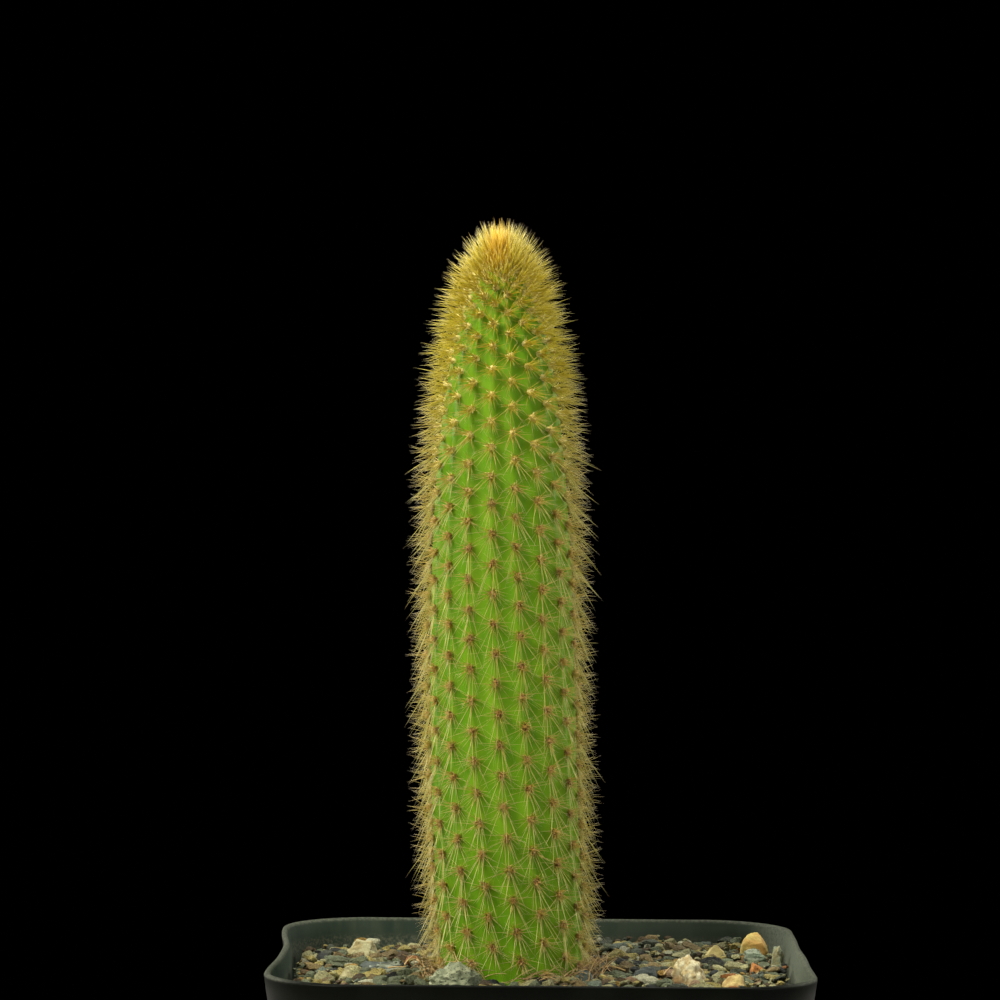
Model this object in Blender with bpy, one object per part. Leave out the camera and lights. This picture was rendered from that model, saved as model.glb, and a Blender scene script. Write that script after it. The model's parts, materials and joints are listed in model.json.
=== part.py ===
# A rat tail cactus in a square plastic pot: a ribbed column with golden spines stands in
# potting mix under a top dressing of gravel, with a dozen larger stones bedded in it.
# Metres, +Z up. The origin is on the surface that the pot stands on, under the pot's middle.

import math
import random

import bmesh
import bpy
from mathutils import Matrix, Vector

MM = 0.001
TAU = 2 * math.pi
UP = Vector((0, 0, 1))
CLEARANCE = 0.3 * MM

# The pot, thin moulded plastic
POT_SIDE = 90 * MM
POT_HEIGHT = 82 * MM
RIM_CORNER = 15 * MM
BASE_SIDE = 64 * MM
BASE_CORNER = 9 * MM
WALL = 1.1 * MM
BAND_HEIGHT = 9 * MM
BAND_STEP = 1.3 * MM
BAND_SLOPE = 1.2 * MM
LIP_CHAMFER = 0.35 * MM
SIDE_DENT = 1.3 * MM
FOOT_HEIGHT = 2 * MM
FOOT_WIDTH = 3 * MM
FLOOR = 1.3 * MM
CORNER_STEPS = 5
SIDE_STEPS = 4

# Holes that let water out of the pot
DRAIN_RADIUS = 4.5 * MM
DRAIN_OFFSET = 17 * MM
NOTCH_WIDTH = 10 * MM
NOTCH_HEIGHT = 1.4 * MM

# What fills the pot
MIX_TOP = POT_HEIGHT - 11.5 * MM
BED_TOP = POT_HEIGHT - 6.6 * MM
GROUND = POT_HEIGHT - 4 * MM
PEBBLE_RADII = (4.6 * MM, 1.9 * MM)
PEBBLE_TRIES = 5000
PEBBLE_SPACING = 0.8
PEBBLE_SHAPE = ((0.9, 1.15), (0.75, 1.0), (0.6, 0.75))
PEBBLE_JITTER = 0.16
PEBBLE_BULGE = 1.22
STONE_JITTER = 0.07
SOCKET_GAP = 1.3 * CLEARANCE

# The stem, measured upwards from the ground
STEM_HEIGHT = 120.4 * MM
STEM_RADIUS = 12.4 * MM
DOME_POWER = 4
BASE_WAIST = 0.06
WAIST_REACH = 6 * MM
STEM_X = -4.5 * MM
LEAN = 3.0 * MM
LEAN_REACH = 45 * MM
RIBS = 18
RIB_POINTS = 3
RIB_DEPTH = 0.9 * MM
RIB_TURN = math.radians(-102)
TWIST = math.radians(21)
TWIST_REACH = 46 * MM
STEM_RINGS = 13
TIP_RADIUS = 0.5 * MM
ROOT_RINGS = ((7.5 * MM, 10.4 * MM), (19 * MM, 6.4 * MM), (32 * MM, 1.2 * MM))

# The areoles, the points along each rib that the spines grow from
AREOLE_PITCH = 5.22 * MM
PITCH_GROWTH = 5.25
AREOLES_PER_RIB = 28
FIRST_ROW = 0.18
ROW_SHIFT = 8 / RIBS
LOWEST_AREOLE = 5.5 * MM
YOUNGEST = 0.9 * MM

# The spines, which turn from upright at the tip of the stem to drooping low down, in degrees
DROOP = -40
DROOP_REACH = 17 * MM
SPINE_WIDTH = 0.5 * MM
SPINE_SINK = 0.8 * MM
PAIR_GAP = 0.9 * MM
SPINE_LENGTHS = (5.0 * MM, 7.6 * MM)
SPINE_FLOOR = 6.2 * MM
SIDE_JITTER = 0.15
LIFT_JITTER = 8
CROWN_SPINES = 46
CROWN_REACH = 5.5 * MM
CROWN_LENGTH = 8.3 * MM
CROWN_SPREAD = 45
GOLDEN_ANGLE = math.radians(137.5)

# The larger stones: middle in X and Y and top above the ground, half sizes in X and Y, turn,
# all in millimetres and degrees, and colour. Each reaches down into the bed.
STONE_SINK = 0.8 * MM
STONES = {
    "stone_granite": ((-13.8, -14.5, 3.8), (5.0, 4.0), 12, (0.36, 0.37, 0.31)),
    "stone_slate": ((-26.4, 5.2, 1.2), (4.9, 4.0), -8, (0.11, 0.13, 0.11)),
    "stone_white": ((-30.6, 29.5, 1.8), (3.0, 2.6), 10, (0.6, 0.58, 0.46)),
    "stone_cream": ((-32.3, -7.3, 1.8), (1.9, 1.8), 5, (0.56, 0.5, 0.36)),
    "stone_tan": ((38.2, 29.0, 3.6), (2.9, 2.8), 30, (0.5, 0.38, 0.17)),
    "stone_flat": ((30.8, 25.5, 1.9), (2.4, 2.6), 15, (0.53, 0.46, 0.24)),
    "stone_green": ((37.6, 18.6, 2.2), (2.6, 2.4), -20, (0.25, 0.29, 0.21)),
    "stone_upright": ((41.3, 14.2, 3.3), (1.2, 1.7), 0, (0.38, 0.38, 0.27)),
    "stone_rust": ((37.2, 4.2, 1.6), (2.2, 1.9), 40, (0.46, 0.2, 0.07)),
    "stone_knobbly": ((25.0, -8.6, 4.8), (3.0, 2.9), 0, (0.58, 0.48, 0.33)),
    "stone_dark": ((17.9, -4.6, 2.0), (2.4, 2.0), 25, (0.06, 0.07, 0.07)),
    "stone_ochre": ((32.4, -14.3, 2.1), (2.3, 2.2), -35, (0.47, 0.34, 0.17)),
    "stone_grey": ((7.6, -8.0, 1.8), (1.9, 1.7), -15, (0.2, 0.22, 0.21)),
}


def around(angle, rise=0):
    """The direction at an angle round the vertical, and at a rise above the level."""
    flat = Vector((math.cos(angle), math.sin(angle), 0))
    return flat * math.cos(rise) + UP * math.sin(rise)


def clear_scene():
    for item in list(bpy.data.objects):
        bpy.data.objects.remove(item)


def finish(name, colour, roughness):
    """A plain material."""
    material = bpy.data.materials.new(name)
    material.use_nodes = True
    shader = material.node_tree.nodes["Principled BSDF"]
    shader.inputs["Base Color"].default_value = (*colour, 1)
    shader.inputs["Roughness"].default_value = roughness
    shader.inputs["Metallic"].default_value = 0
    return material


def add_object(name, bm, material=None):
    mesh = bpy.data.meshes.new(name)
    bm.to_mesh(mesh)
    bm.free()
    item = bpy.data.objects.new(name, mesh)
    bpy.context.scene.collection.objects.link(item)
    if material:
        mesh.materials.append(material)
    return item


def skin(rings):
    """One closed shape through rings of equally many points, each counter-clockwise from above."""
    bm = bmesh.new()
    loops = [[bm.verts.new(point) for point in ring] for ring in rings]
    count = len(loops[0])
    for low, high in zip(loops, loops[1:]):
        for i in range(count):
            j = (i + 1) % count
            bm.faces.new((low[i], low[j], high[j], high[i]))
    bm.faces.new(reversed(loops[0]))
    bm.faces.new(loops[-1])
    return bm


def combine(item, tools, operation, solver="EXACT"):
    """Applies one Boolean of all the tools to the item and removes them."""
    group = bpy.data.collections.new("tools")
    for tool in tools:
        group.objects.link(tool)
    change = item.modifiers.new("combine", "BOOLEAN")
    change.operation = operation
    change.solver = solver
    change.operand_type = "COLLECTION"
    change.collection = group
    graph = bpy.context.evaluated_depsgraph_get()
    mesh = bpy.data.meshes.new_from_object(item.evaluated_get(graph))
    item.modifiers.clear()
    item.data = mesh
    for tool in tools:
        bpy.data.objects.remove(tool)
    bpy.data.collections.remove(group)


def smooth(item, angle):
    """Smooth shading, but for edges sharper than an angle."""
    item.data.shade_smooth()
    item.data.set_sharp_from_angle(angle=math.radians(angle))


def drop_scraps(item):
    """Keeps the largest body and drops any scrap that a cut left loose."""
    bm = bmesh.new()
    bm.from_mesh(item.data)
    unseen = set(bm.verts)
    bodies = []
    while unseen:
        body = [unseen.pop()]
        for vertex in body:
            for edge in vertex.link_edges:
                other = edge.other_vert(vertex)
                if other in unseen:
                    unseen.remove(other)
                    body.append(other)
        bodies.append(body)
    bodies.sort(key=len)
    scraps = [vertex for body in bodies[:-1] for vertex in body]
    bmesh.ops.delete(bm, geom=scraps, context="VERTS")
    bm.to_mesh(item.data)
    bm.free()


# The pot


def pot_half(z):
    """Half the outer side of the tapering wall at a height, without the rim's band."""
    top = POT_SIDE / 2 - BAND_STEP
    return BASE_SIDE / 2 + (top - BASE_SIDE / 2) * z / POT_HEIGHT


def pot_corner(z):
    return BASE_CORNER + (RIM_CORNER - BASE_CORNER) * z / POT_HEIGHT


def dent(z, share):
    """How far the left side bows in. share runs from -1 to 1 along the side."""
    return SIDE_DENT * (z / POT_HEIGHT) ** 2 * math.cos(share * math.pi / 2) ** 2


def square_ring(half, z, corner=None):
    """A rounded square, counter-clockwise from above, with its left side bowed in."""
    corner = pot_corner(z) if corner is None else corner
    flat = half - corner
    ring = []
    for side in range(4):
        turn = Matrix.Rotation(side * TAU / 4, 3, "Z")
        for step in range(1, SIDE_STEPS):
            share = 2 * step / SIDE_STEPS - 1
            pull = dent(z, share) if side == 2 else 0
            ring.append(turn @ Vector((half - pull, flat * share, z)))
        for step in range(CORNER_STEPS + 1):
            angle = step / CORNER_STEPS * TAU / 4
            x, y = corner * math.cos(angle), corner * math.sin(angle)
            ring.append(turn @ Vector((flat + x, flat + y, z)))
    return ring


def wall_rings(inset, bottom, top):
    """Rings of the wall from a height up to one in the rim's band, which stands proud."""
    band_low = POT_HEIGHT - BAND_HEIGHT
    places = (
        (bottom, 0),
        (POT_HEIGHT / 2, 0),
        (band_low - BAND_SLOPE, 0),
        (band_low, BAND_STEP),
        (top, BAND_STEP),
    )
    rings = []
    for z, proud in places:
        if z >= bottom:
            rings.append(square_ring(pot_half(z) + proud - inset, z, pot_corner(z) - inset))
    return rings


def build_pot(material):
    foot_half = BASE_SIDE / 2 - FOOT_WIDTH
    foot_corner = BASE_CORNER - FOOT_WIDTH
    lip_half = POT_SIDE / 2
    lip_low = POT_HEIGHT - LIP_CHAMFER
    rings = [
        square_ring(foot_half, FOOT_HEIGHT, foot_corner),
        square_ring(foot_half, 0, foot_corner),
        square_ring(BASE_SIDE / 2 - LIP_CHAMFER, 0),
    ]
    rings += wall_rings(0, LIP_CHAMFER, lip_low)
    for inset in (LIP_CHAMFER, WALL - LIP_CHAMFER):
        rings.append(square_ring(lip_half - inset, POT_HEIGHT, RIM_CORNER - inset))
    rings += reversed(wall_rings(WALL, FOOT_HEIGHT + FLOOR, lip_low))
    pot = add_object("pot", skin(rings), material)
    combine(pot, drain_cutters(), "DIFFERENCE")
    smooth(pot, 35)


def drain_cutters():
    """Five round drains through the floor, and a notch through the foot on each side."""
    reach = 3 * (FOOT_HEIGHT + FLOOR)
    across = 1.1 * BASE_SIDE
    drain = {"radius1": DRAIN_RADIUS, "radius2": DRAIN_RADIUS, "depth": reach}
    cutters = []
    for x, y in ((0, 0), (1, 1), (-1, 1), (-1, -1), (1, -1)):
        bm = bmesh.new()
        place = Matrix.Translation((x * DRAIN_OFFSET, y * DRAIN_OFFSET, 0))
        bmesh.ops.create_cone(bm, cap_ends=True, segments=20, matrix=place, **drain)
        cutters.append(add_object("drain", bm))
    for size in ((across, NOTCH_WIDTH), (NOTCH_WIDTH, across)):
        bm = bmesh.new()
        bmesh.ops.create_cube(bm, size=1, matrix=Matrix.Diagonal((*size, 2 * NOTCH_HEIGHT, 1)))
        cutters.append(add_object("notch", bm))
    return cutters


# The stem


def stem_middle(height):
    """The stem's centre line, which leans a little to the left and straightens upwards."""
    rise = max(height, 0)
    drift = LEAN * (1 - math.exp(-rise / LEAN_REACH))
    return Vector((STEM_X - drift, 0, GROUND + height))


def stem_radius(height):
    share = min(max(height / STEM_HEIGHT, 0), 1)
    dome = math.sqrt(1 - share**DOME_POWER)
    waist = 1 - BASE_WAIST * math.exp(-max(height, 0) / WAIST_REACH)
    return STEM_RADIUS * dome * waist


def rib_turn(height):
    """The angle of the first rib, which winds round a little and straightens upwards."""
    return RIB_TURN + TWIST * math.exp(-max(height, 0) / TWIST_REACH)


def stem_point(height, angle):
    """A point of the skin. Ribs are round crests with narrow furrows, and die out at the tip."""
    radius = stem_radius(height)
    wave = abs(math.sin(RIBS * (angle - rib_turn(height)) / 2))
    depth = RIB_DEPTH * min(1, radius / (0.6 * STEM_RADIUS))
    reach = radius - depth * wave**1.6
    return stem_middle(height) + reach * around(angle)


def ring_at(height, radius=None, points=RIBS * RIB_POINTS):
    """A ring round the stem, ribbed unless it has a radius. No point of it is on a crest."""
    angles = [rib_turn(height) + (i + 0.5) * TAU / points for i in range(points)]
    if radius is None:
        return [stem_point(height, angle) for angle in angles]
    middle = stem_middle(height)
    return [middle + radius * around(angle) for angle in angles]


def root_rings(extra=0, points=RIBS * RIB_POINTS):
    """The stem below the ground, tapering to its root, from the bottom up."""
    return [ring_at(-depth - extra, radius + extra, points) for depth, radius in reversed(ROOT_RINGS)]


def stem_heights():
    """Ring heights, closer together towards the domed tip."""
    return [STEM_HEIGHT * (1 - (1 - i / STEM_RINGS) ** 1.7) for i in range(STEM_RINGS)]


def spine(root, way, length):
    """A three-sided needle with its root sunk in the stem."""
    bm = bmesh.new()
    turn = UP.rotation_difference(way).to_matrix()
    foot = root - way * SPINE_SINK
    base = [bm.verts.new(foot + turn @ (around(i * TAU / 3) * SPINE_WIDTH / 2)) for i in range(3)]
    tip = bm.verts.new(root + way * length)
    bm.faces.new(reversed(base))
    for i in range(3):
        bm.faces.new((base[i], base[(i + 1) % 3], tip))
    return add_object("spine", bm)


def height_at_arc(arc):
    """The height on a rib at a distance along it from the tip."""
    height, gone, step = STEM_HEIGHT, 0, 0.25 * MM
    while gone < arc and height > 0:
        lower = height - step
        gone += math.hypot(step, stem_radius(lower) - stem_radius(height))
        height = lower
    return height


def areoles():
    """(height, angle, distance from the tip) of each areole, on ribs whose rows are shifted."""
    places = []
    for rib in range(RIBS):
        shift = (FIRST_ROW + rib * ROW_SHIFT) % 1
        for row in range(AREOLES_PER_RIB):
            place = row + shift
            crowding = PITCH_GROWTH * (1 - math.exp(-place / PITCH_GROWTH))
            arc = AREOLE_PITCH * (place - crowding)
            height = height_at_arc(arc)
            if arc > YOUNGEST and height > LOWEST_AREOLE:
                places.append((height, rib_turn(height) + rib * TAU / RIBS, arc))
    return places


def spine_way(angle, arc, side, lift):
    """A spine's direction: up at the tip of the stem, and drooping more the further it is from it."""
    rise = DROOP + (90 - DROOP) * math.exp(-arc / DROOP_REACH) + lift
    return around(angle + side, math.radians(rise))


def raised(way, root, length):
    """The same way turned up, where the spine would touch the gravel."""
    lowest = (GROUND + SPINE_FLOOR - root.z) / length
    if way.z > lowest:
        return way
    return around(math.atan2(way.y, way.x), math.asin(lowest))


def stem_spines(rng):
    """One spine at every other areole, and a pair, one above the other, at the rest."""
    spines = []
    for index, (height, angle, arc) in enumerate(areoles()):
        pair = ((-0.5, -0.4, -6), (0.5, 0.45, 12))
        single = ((0, rng.uniform(-0.35, 0.35), 0),)
        for place, side, lift in single if index % 2 else pair:
            root = stem_point(height, angle) + UP * place * PAIR_GAP
            length = rng.uniform(*SPINE_LENGTHS)
            side += rng.uniform(-SIDE_JITTER, SIDE_JITTER)
            lift += rng.uniform(-LIFT_JITTER, LIFT_JITTER)
            way = raised(spine_way(angle, arc, side, lift), root, length)
            spines.append(spine(root, way, length))
    return spines


def crown_spines(rng):
    """The tuft over the tip, spread like the seeds of a sunflower."""
    spines = []
    for i in range(CROWN_SPINES):
        share = math.sqrt((i + 0.5) / CROWN_SPINES)
        angle = i * GOLDEN_ANGLE
        height = STEM_HEIGHT
        while stem_radius(height) < share * CROWN_REACH:
            height -= 0.1 * MM
        way = around(angle, math.radians(90 - CROWN_SPREAD * share))
        root = stem_middle(height) + share * CROWN_REACH * around(angle)
        spines.append(spine(root, way, CROWN_LENGTH * rng.uniform(0.85, 1)))
    return spines


def build_cactus(material):
    rng = random.Random(5)
    rings = root_rings() + [ring_at(height) for height in stem_heights()]
    rings.append(ring_at(STEM_HEIGHT, TIP_RADIUS))
    cactus = add_object("cactus", skin(rings), material)
    combine(cactus, stem_spines(rng) + crown_spines(rng), "UNION", "MANIFOLD")
    smooth(cactus, 50)


# The potting mix, the gravel and the stones


def stone_mesh(rng, middle, half, turn, detail, jitter):
    """An angular stone: an icosphere with its points pushed in and out."""
    bm = bmesh.new()
    bmesh.ops.create_icosphere(bm, subdivisions=detail, radius=1)
    tilt = Matrix.Rotation(rng.uniform(-0.25, 0.25), 3, "X")
    place = Matrix.Rotation(turn, 3, "Z") @ tilt @ Matrix.Diagonal(half)
    for vertex in bm.verts:
        vertex.co = middle + place @ (vertex.co * rng.uniform(1 - jitter, 1 + jitter))
    return bm


def room_at(x, y):
    """How far a point lies inside the pot's wall at the top of the bed."""
    half = pot_half(BED_TOP) + BAND_STEP - WALL
    corner = pot_corner(BED_TOP) - WALL
    past_x = abs(x) - (half - corner)
    past_y = abs(y) - (half - corner)
    outside = math.hypot(max(past_x, 0), max(past_y, 0)) + min(max(past_x, past_y), 0)
    return corner - outside - (SIDE_DENT if x < 0 else 0)


def stone_place(name):
    """(middle, half sizes, turn) of a larger stone."""
    (x, y, top), (half_x, half_y), turn, _ = STONES[name]
    high = GROUND + top * MM
    low = BED_TOP - STONE_SINK
    middle = Vector((x * MM, y * MM, (high + low) / 2))
    half = Vector((half_x * MM, half_y * MM, (high - low) / 2))
    return middle, half, math.radians(turn)


def pebble_fits(x, y, radius, pebbles):
    """Whether a pebble is clear of the wall, the stem, the larger stones and the others."""
    if room_at(x, y) < PEBBLE_BULGE * radius + CLEARANCE:
        return False
    if math.hypot(x - STEM_X, y) < STEM_RADIUS + 0.9 * radius:
        return False
    for name in STONES:
        middle, size, _ = stone_place(name)
        if math.hypot(x - middle.x, y - middle.y) < max(size.x, size.y) + 0.55 * radius:
            return False
    for other_x, other_y, other in pebbles:
        if math.hypot(x - other_x, y - other_y) < PEBBLE_SPACING * (radius + other):
            return False
    return True


def pebble_places(rng):
    """(x, y, radius) of the bed's pebbles, the large ones first and the small ones in their gaps."""
    half = POT_SIDE / 2
    largest, smallest = PEBBLE_RADII
    places = []
    for attempt in range(PEBBLE_TRIES):
        x, y = rng.uniform(-half, half), rng.uniform(-half, half)
        radius = largest + (smallest - largest) * attempt / PEBBLE_TRIES
        if pebble_fits(x, y, radius, places):
            places.append((x, y, radius))
    return places


def build_gravel(material):
    """The bed with its pebbles, and a socket for the stem and for each larger stone."""
    rng = random.Random(11)
    rings = wall_rings(WALL + CLEARANCE, MIX_TOP + CLEARANCE, BED_TOP)
    bed = add_object("gravel_bed", skin(rings), material)
    pebbles = []
    for x, y, radius in pebble_places(rng):
        half = radius * Vector([rng.uniform(*bounds) for bounds in PEBBLE_SHAPE])
        middle = Vector((x, y, BED_TOP + rng.uniform(-0.1, 0.3) * radius))
        bm = stone_mesh(rng, middle, half, rng.uniform(0, TAU), 1, PEBBLE_JITTER)
        pebbles.append(add_object("pebble", bm))
    combine(bed, pebbles, "UNION", "MANIFOLD")
    hole_radius = stem_radius(2 * MM) + CLEARANCE
    reach = 2 * BAND_HEIGHT
    sockets = [add_object("stem_hole", skin([ring_at(z, hole_radius) for z in (-reach, 0, reach)]))]
    sockets += [stone_object(name, SOCKET_GAP) for name in STONES]
    combine(bed, sockets, "DIFFERENCE", "MANIFOLD")
    drop_scraps(bed)


def stone_object(name, extra=0, material=None):
    """A larger stone, or with extra its socket's cutter."""
    rng = random.Random(name)
    middle, half, turn = stone_place(name)
    grown = half + Vector((extra, extra, extra))
    return add_object(name, stone_mesh(rng, middle, grown, turn, 2, STONE_JITTER), material)


def build_mix(material):
    """The block of potting mix, with a plain hole for the stem's foot and root."""
    inset = WALL + CLEARANCE
    low = FOOT_HEIGHT + FLOOR + CLEARANCE
    rings = []
    for z in (low, POT_HEIGHT / 2, MIX_TOP):
        rings.append(square_ring(pot_half(z) - inset, z, pot_corner(z) - inset))
    mix = add_object("potting_mix", skin(rings), material)
    hole = root_rings(CLEARANCE, 24)
    hole.append(ring_at(0, STEM_RADIUS, 24))
    combine(mix, [add_object("root_hole", skin(hole))], "DIFFERENCE")
    smooth(mix, 35)


def main():
    clear_scene()
    build_pot(finish("black_plastic", (0.02, 0.024, 0.022), 0.55))
    build_mix(finish("potting_mix", (0.05, 0.032, 0.02), 0.95))
    build_gravel(finish("gravel", (0.32, 0.29, 0.22), 0.85))
    for name in STONES:
        colour = STONES[name][-1]
        stone_object(name, material=finish(name, colour, 0.8))
    build_cactus(finish("green_skin", (0.19, 0.36, 0.03), 0.5))


main()
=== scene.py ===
import json
import math
import random

import bmesh
import bpy
import numpy as np
from mathutils import Euler, Matrix, Vector, noise

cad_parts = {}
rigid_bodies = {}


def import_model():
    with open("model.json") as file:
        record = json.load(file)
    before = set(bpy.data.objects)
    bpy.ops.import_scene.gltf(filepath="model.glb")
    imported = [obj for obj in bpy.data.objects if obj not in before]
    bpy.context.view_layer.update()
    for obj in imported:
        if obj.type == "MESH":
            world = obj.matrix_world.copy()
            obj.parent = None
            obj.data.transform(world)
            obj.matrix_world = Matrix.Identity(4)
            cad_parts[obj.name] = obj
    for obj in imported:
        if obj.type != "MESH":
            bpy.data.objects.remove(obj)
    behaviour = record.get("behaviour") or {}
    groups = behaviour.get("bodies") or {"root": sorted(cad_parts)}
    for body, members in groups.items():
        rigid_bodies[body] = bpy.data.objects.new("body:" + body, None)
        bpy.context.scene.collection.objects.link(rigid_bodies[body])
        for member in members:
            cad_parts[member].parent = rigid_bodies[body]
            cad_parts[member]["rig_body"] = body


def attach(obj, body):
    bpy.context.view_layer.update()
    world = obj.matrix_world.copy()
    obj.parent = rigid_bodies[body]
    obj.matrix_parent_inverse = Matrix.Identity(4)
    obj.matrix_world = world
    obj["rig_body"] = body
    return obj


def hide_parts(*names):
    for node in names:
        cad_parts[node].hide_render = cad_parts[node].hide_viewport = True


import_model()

# Sizes are in millimetres and angles in degrees; mm and math.radians turn them into Blender's own.
mm = 0.001
tau = 2 * math.pi
up = Vector((0, 0, 1))
scene = bpy.context.scene
for thing in list(scene.objects):      # the cube, lamp and camera of a new file
    if "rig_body" not in thing and thing.type != "EMPTY":
        bpy.data.objects.remove(thing)
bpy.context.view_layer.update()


# Node helpers

# A socket that Python's own operators work on: each of them adds its Math node.
class sock:
    def __init__(self, tree, out):
        self.tree, self.out = tree, out

    def __getitem__(self, label):      # another output of the same node
        return sock(self.tree, pick(self.out.node.outputs, label))

    __add__ = __radd__ = lambda self, other: calc("ADD", self, other)
    __mul__ = __rmul__ = lambda self, other: calc("MULTIPLY", self, other)
    __sub__ = lambda self, other: calc("SUBTRACT", self, other)
    __rsub__ = lambda self, other: calc("SUBTRACT", other, self)
    __truediv__ = lambda self, other: calc("DIVIDE", self, other)
    __rtruediv__ = lambda self, other: calc("DIVIDE", other, self)
    __pow__ = lambda self, other: calc("POWER", self, other)
    __rpow__ = lambda self, other: calc("POWER", other, self)
    __gt__ = lambda self, other: calc("GREATER_THAN", self, other)
    __lt__ = lambda self, other: calc("LESS_THAN", self, other)


def pick(sockets, label):
    if isinstance(label, int):
        return sockets[label]
    return next(s for s in sockets if s.name == label and s.enabled)


# Adds one node: its settings go in first, then the values or links of its sockets.
def put(tree, kind, settings=None, values=None, out=None):
    node = tree.nodes.new(kind)
    for label, value in (settings or {}).items():
        if label == "stops":
            ramp = node.color_ramp
            while len(ramp.elements) < len(value):
                ramp.elements.new(1)
            for stop, (place, colour) in zip(ramp.elements, value):
                stop.position, stop.color = place, (*colour, 1)
        else:
            setattr(node, label, value)
    feed(tree, node, values or {})
    return sock(tree, pick(node.outputs, out or next(s.name for s in node.outputs if s.enabled)))


def feed(tree, node, values):
    for label, value in values.items():
        place = pick(node.inputs, label)
        if isinstance(value, sock):
            tree.links.new(value.out, place)
        elif place.type == "RGBA":
            place.default_value = (*value, 1)
        else:
            place.default_value = value


def geo(tree, kind, values=None, settings=None, out=None):
    return put(tree, "GeometryNode" + kind, settings, values, out)


def treeOf(values):
    return next(v.tree for v in values if isinstance(v, sock))


def calc(operation, *values):
    return put(treeOf(values), "ShaderNodeMath", {"operation": operation}, dict(enumerate(values)))


def vec(operation, *values, out=None):
    return put(treeOf(values), "ShaderNodeVectorMath", {"operation": operation}, dict(enumerate(values)), out)


def scaled(vector, amount):
    return put(treeOf((vector, amount)), "ShaderNodeVectorMath", {"operation": "SCALE"}, {0: vector, "Scale": amount})


def split(vector, axis="X"):      # the result gives the other axes in brackets
    return put(vector.tree, "ShaderNodeSeparateXYZ", None, {0: vector}, axis)


def degrees(value):
    return calc("RADIANS", value)


def fading(value):      # 1 at nought, less and less beyond it
    return calc("EXPONENT", 0 - value)


# How far a value is on its way from low to high, from 0 to 1, eased at both ends.
def ease(value, low, high):
    return put(value.tree, "ShaderNodeMapRange", {"interpolation_type": "SMOOTHSTEP"},
               {"Value": value, "From Min": low, "From Max": high})


def easeOver(value, places):      # the same between two places in millimetres
    return ease(value, places[0] * mm, places[1] * mm)


def blend(mask, first, second, way="MIX"):
    return put(treeOf((mask, first, second)), "ShaderNodeMix", {"data_type": "RGBA", "blend_type": way},
               {"Factor": mask, "A": first, "B": second})


def times(colour, factor):
    return blend(1.0, colour, factor, "MULTIPLY")


# Lays colours over the first one, each where its mask says.
def coats(colour, *layers):
    for mask, over in layers:
        colour = blend(mask, colour, over)
    return colour


# Material helpers

def newMaterial(name):
    material = bpy.data.materials.new(name)
    material.use_nodes = True
    return material, put(material.node_tree, "ShaderNodeTexCoord", out="Object")


# Noise, by the size of its patches in millimetres.
def grain(coords, size, detail=4, rough=0.55, stretch=None):
    if stretch:
        coords = put(coords.tree, "ShaderNodeMapping", None, {"Vector": coords, "Scale": stretch})
    return put(coords.tree, "ShaderNodeTexNoise", None,
               {"Vector": coords, "Scale": 1 / (size * mm), "Detail": detail, "Roughness": rough}, "Fac")


def cells(coords, size, out="Distance"):
    return put(coords.tree, "ShaderNodeTexVoronoi", None, {"Vector": coords, "Scale": 1 / (size * mm)}, out)


def attribute(coords, label, out="Fac"):
    return put(coords.tree, "ShaderNodeAttribute", {"attribute_name": label}, out=out)


# Relief is a bump with its strength and depth; inner is light that goes in: how much, how deep and its colour.
def dress(material, colour, rough, relief=None, strength=0.3, depth=0.1, gloss=0.5, inner=None):
    tree = material.node_tree
    values = {"Base Color": colour, "Roughness": rough, "Specular IOR Level": gloss}
    if inner:
        values.update(zip(("Subsurface Weight", "Subsurface Scale", "Subsurface Radius"), inner))
    if relief:
        values["Normal"] = put(tree, "ShaderNodeBump", None,
                               {"Height": relief, "Strength": strength, "Distance": depth * mm})
    feed(tree, tree.nodes["Principled BSDF"], values)
    return material


# Geometry helpers

def newTree(name, sizes):
    tree = bpy.data.node_groups.new(name, "GeometryNodeTree")
    kinds = {int: "Int", float: "Float", bpy.types.Object: "Object", bpy.types.Collection: "Collection",
             bpy.types.Material: "Material"}
    tree.interface.new_socket("Geometry", in_out="INPUT", socket_type="NodeSocketGeometry")
    for label, value in sizes.items():
        tree.interface.new_socket(label, in_out="INPUT", socket_type="NodeSocket" + kinds[type(value)])
    tree.interface.new_socket("Geometry", in_out="OUTPUT", socket_type="NodeSocketGeometry")
    entry = tree.nodes.new("NodeGroupInput")
    return tree, {s.name: sock(tree, s) for s in entry.outputs if s.name}


def endTree(tree, geometry, material):
    whole = geo(tree, "RealizeInstances", {"Geometry": geometry})
    smooth = geo(tree, "SetShadeSmooth", {"Geometry": whole})
    done = geo(tree, "SetMaterial", {"Geometry": smooth, "Material": material})
    tree.links.new(done.out, tree.nodes.new("NodeGroupOutput").inputs[0])
    return tree


def keep(geometry, label, value, domain="POINT"):
    return geo(geometry.tree, "StoreNamedAttribute", {"Geometry": geometry, "Name": label, "Value": value},
               {"data_type": "FLOAT", "domain": domain})


def named(tree, label, kind="FLOAT"):
    return geo(tree, "InputNamedAttribute", {"Name": label}, {"data_type": kind})


# Leaves what the modifiers make as a plain mesh.
def applied(piece):
    made = bpy.data.meshes.new_from_object(piece.evaluated_get(bpy.context.evaluated_depsgraph_get()))
    piece.modifiers.clear()
    piece.data = made
    made.name = piece.name
    return piece


def runTree(tree, name, mesh, sizes):
    piece = addObject(name, mesh)
    modifier = piece.modifiers.new(tree.name, "NODES")
    modifier.node_group = tree
    for item in tree.interface.items_tree:
        if item.in_out == "INPUT" and item.name in sizes:
            modifier[item.identifier] = sizes[item.name]
    return applied(piece)


def addObject(name, thing):
    piece = bpy.data.objects.new(name, thing)
    scene.collection.objects.link(piece)
    return piece


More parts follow.
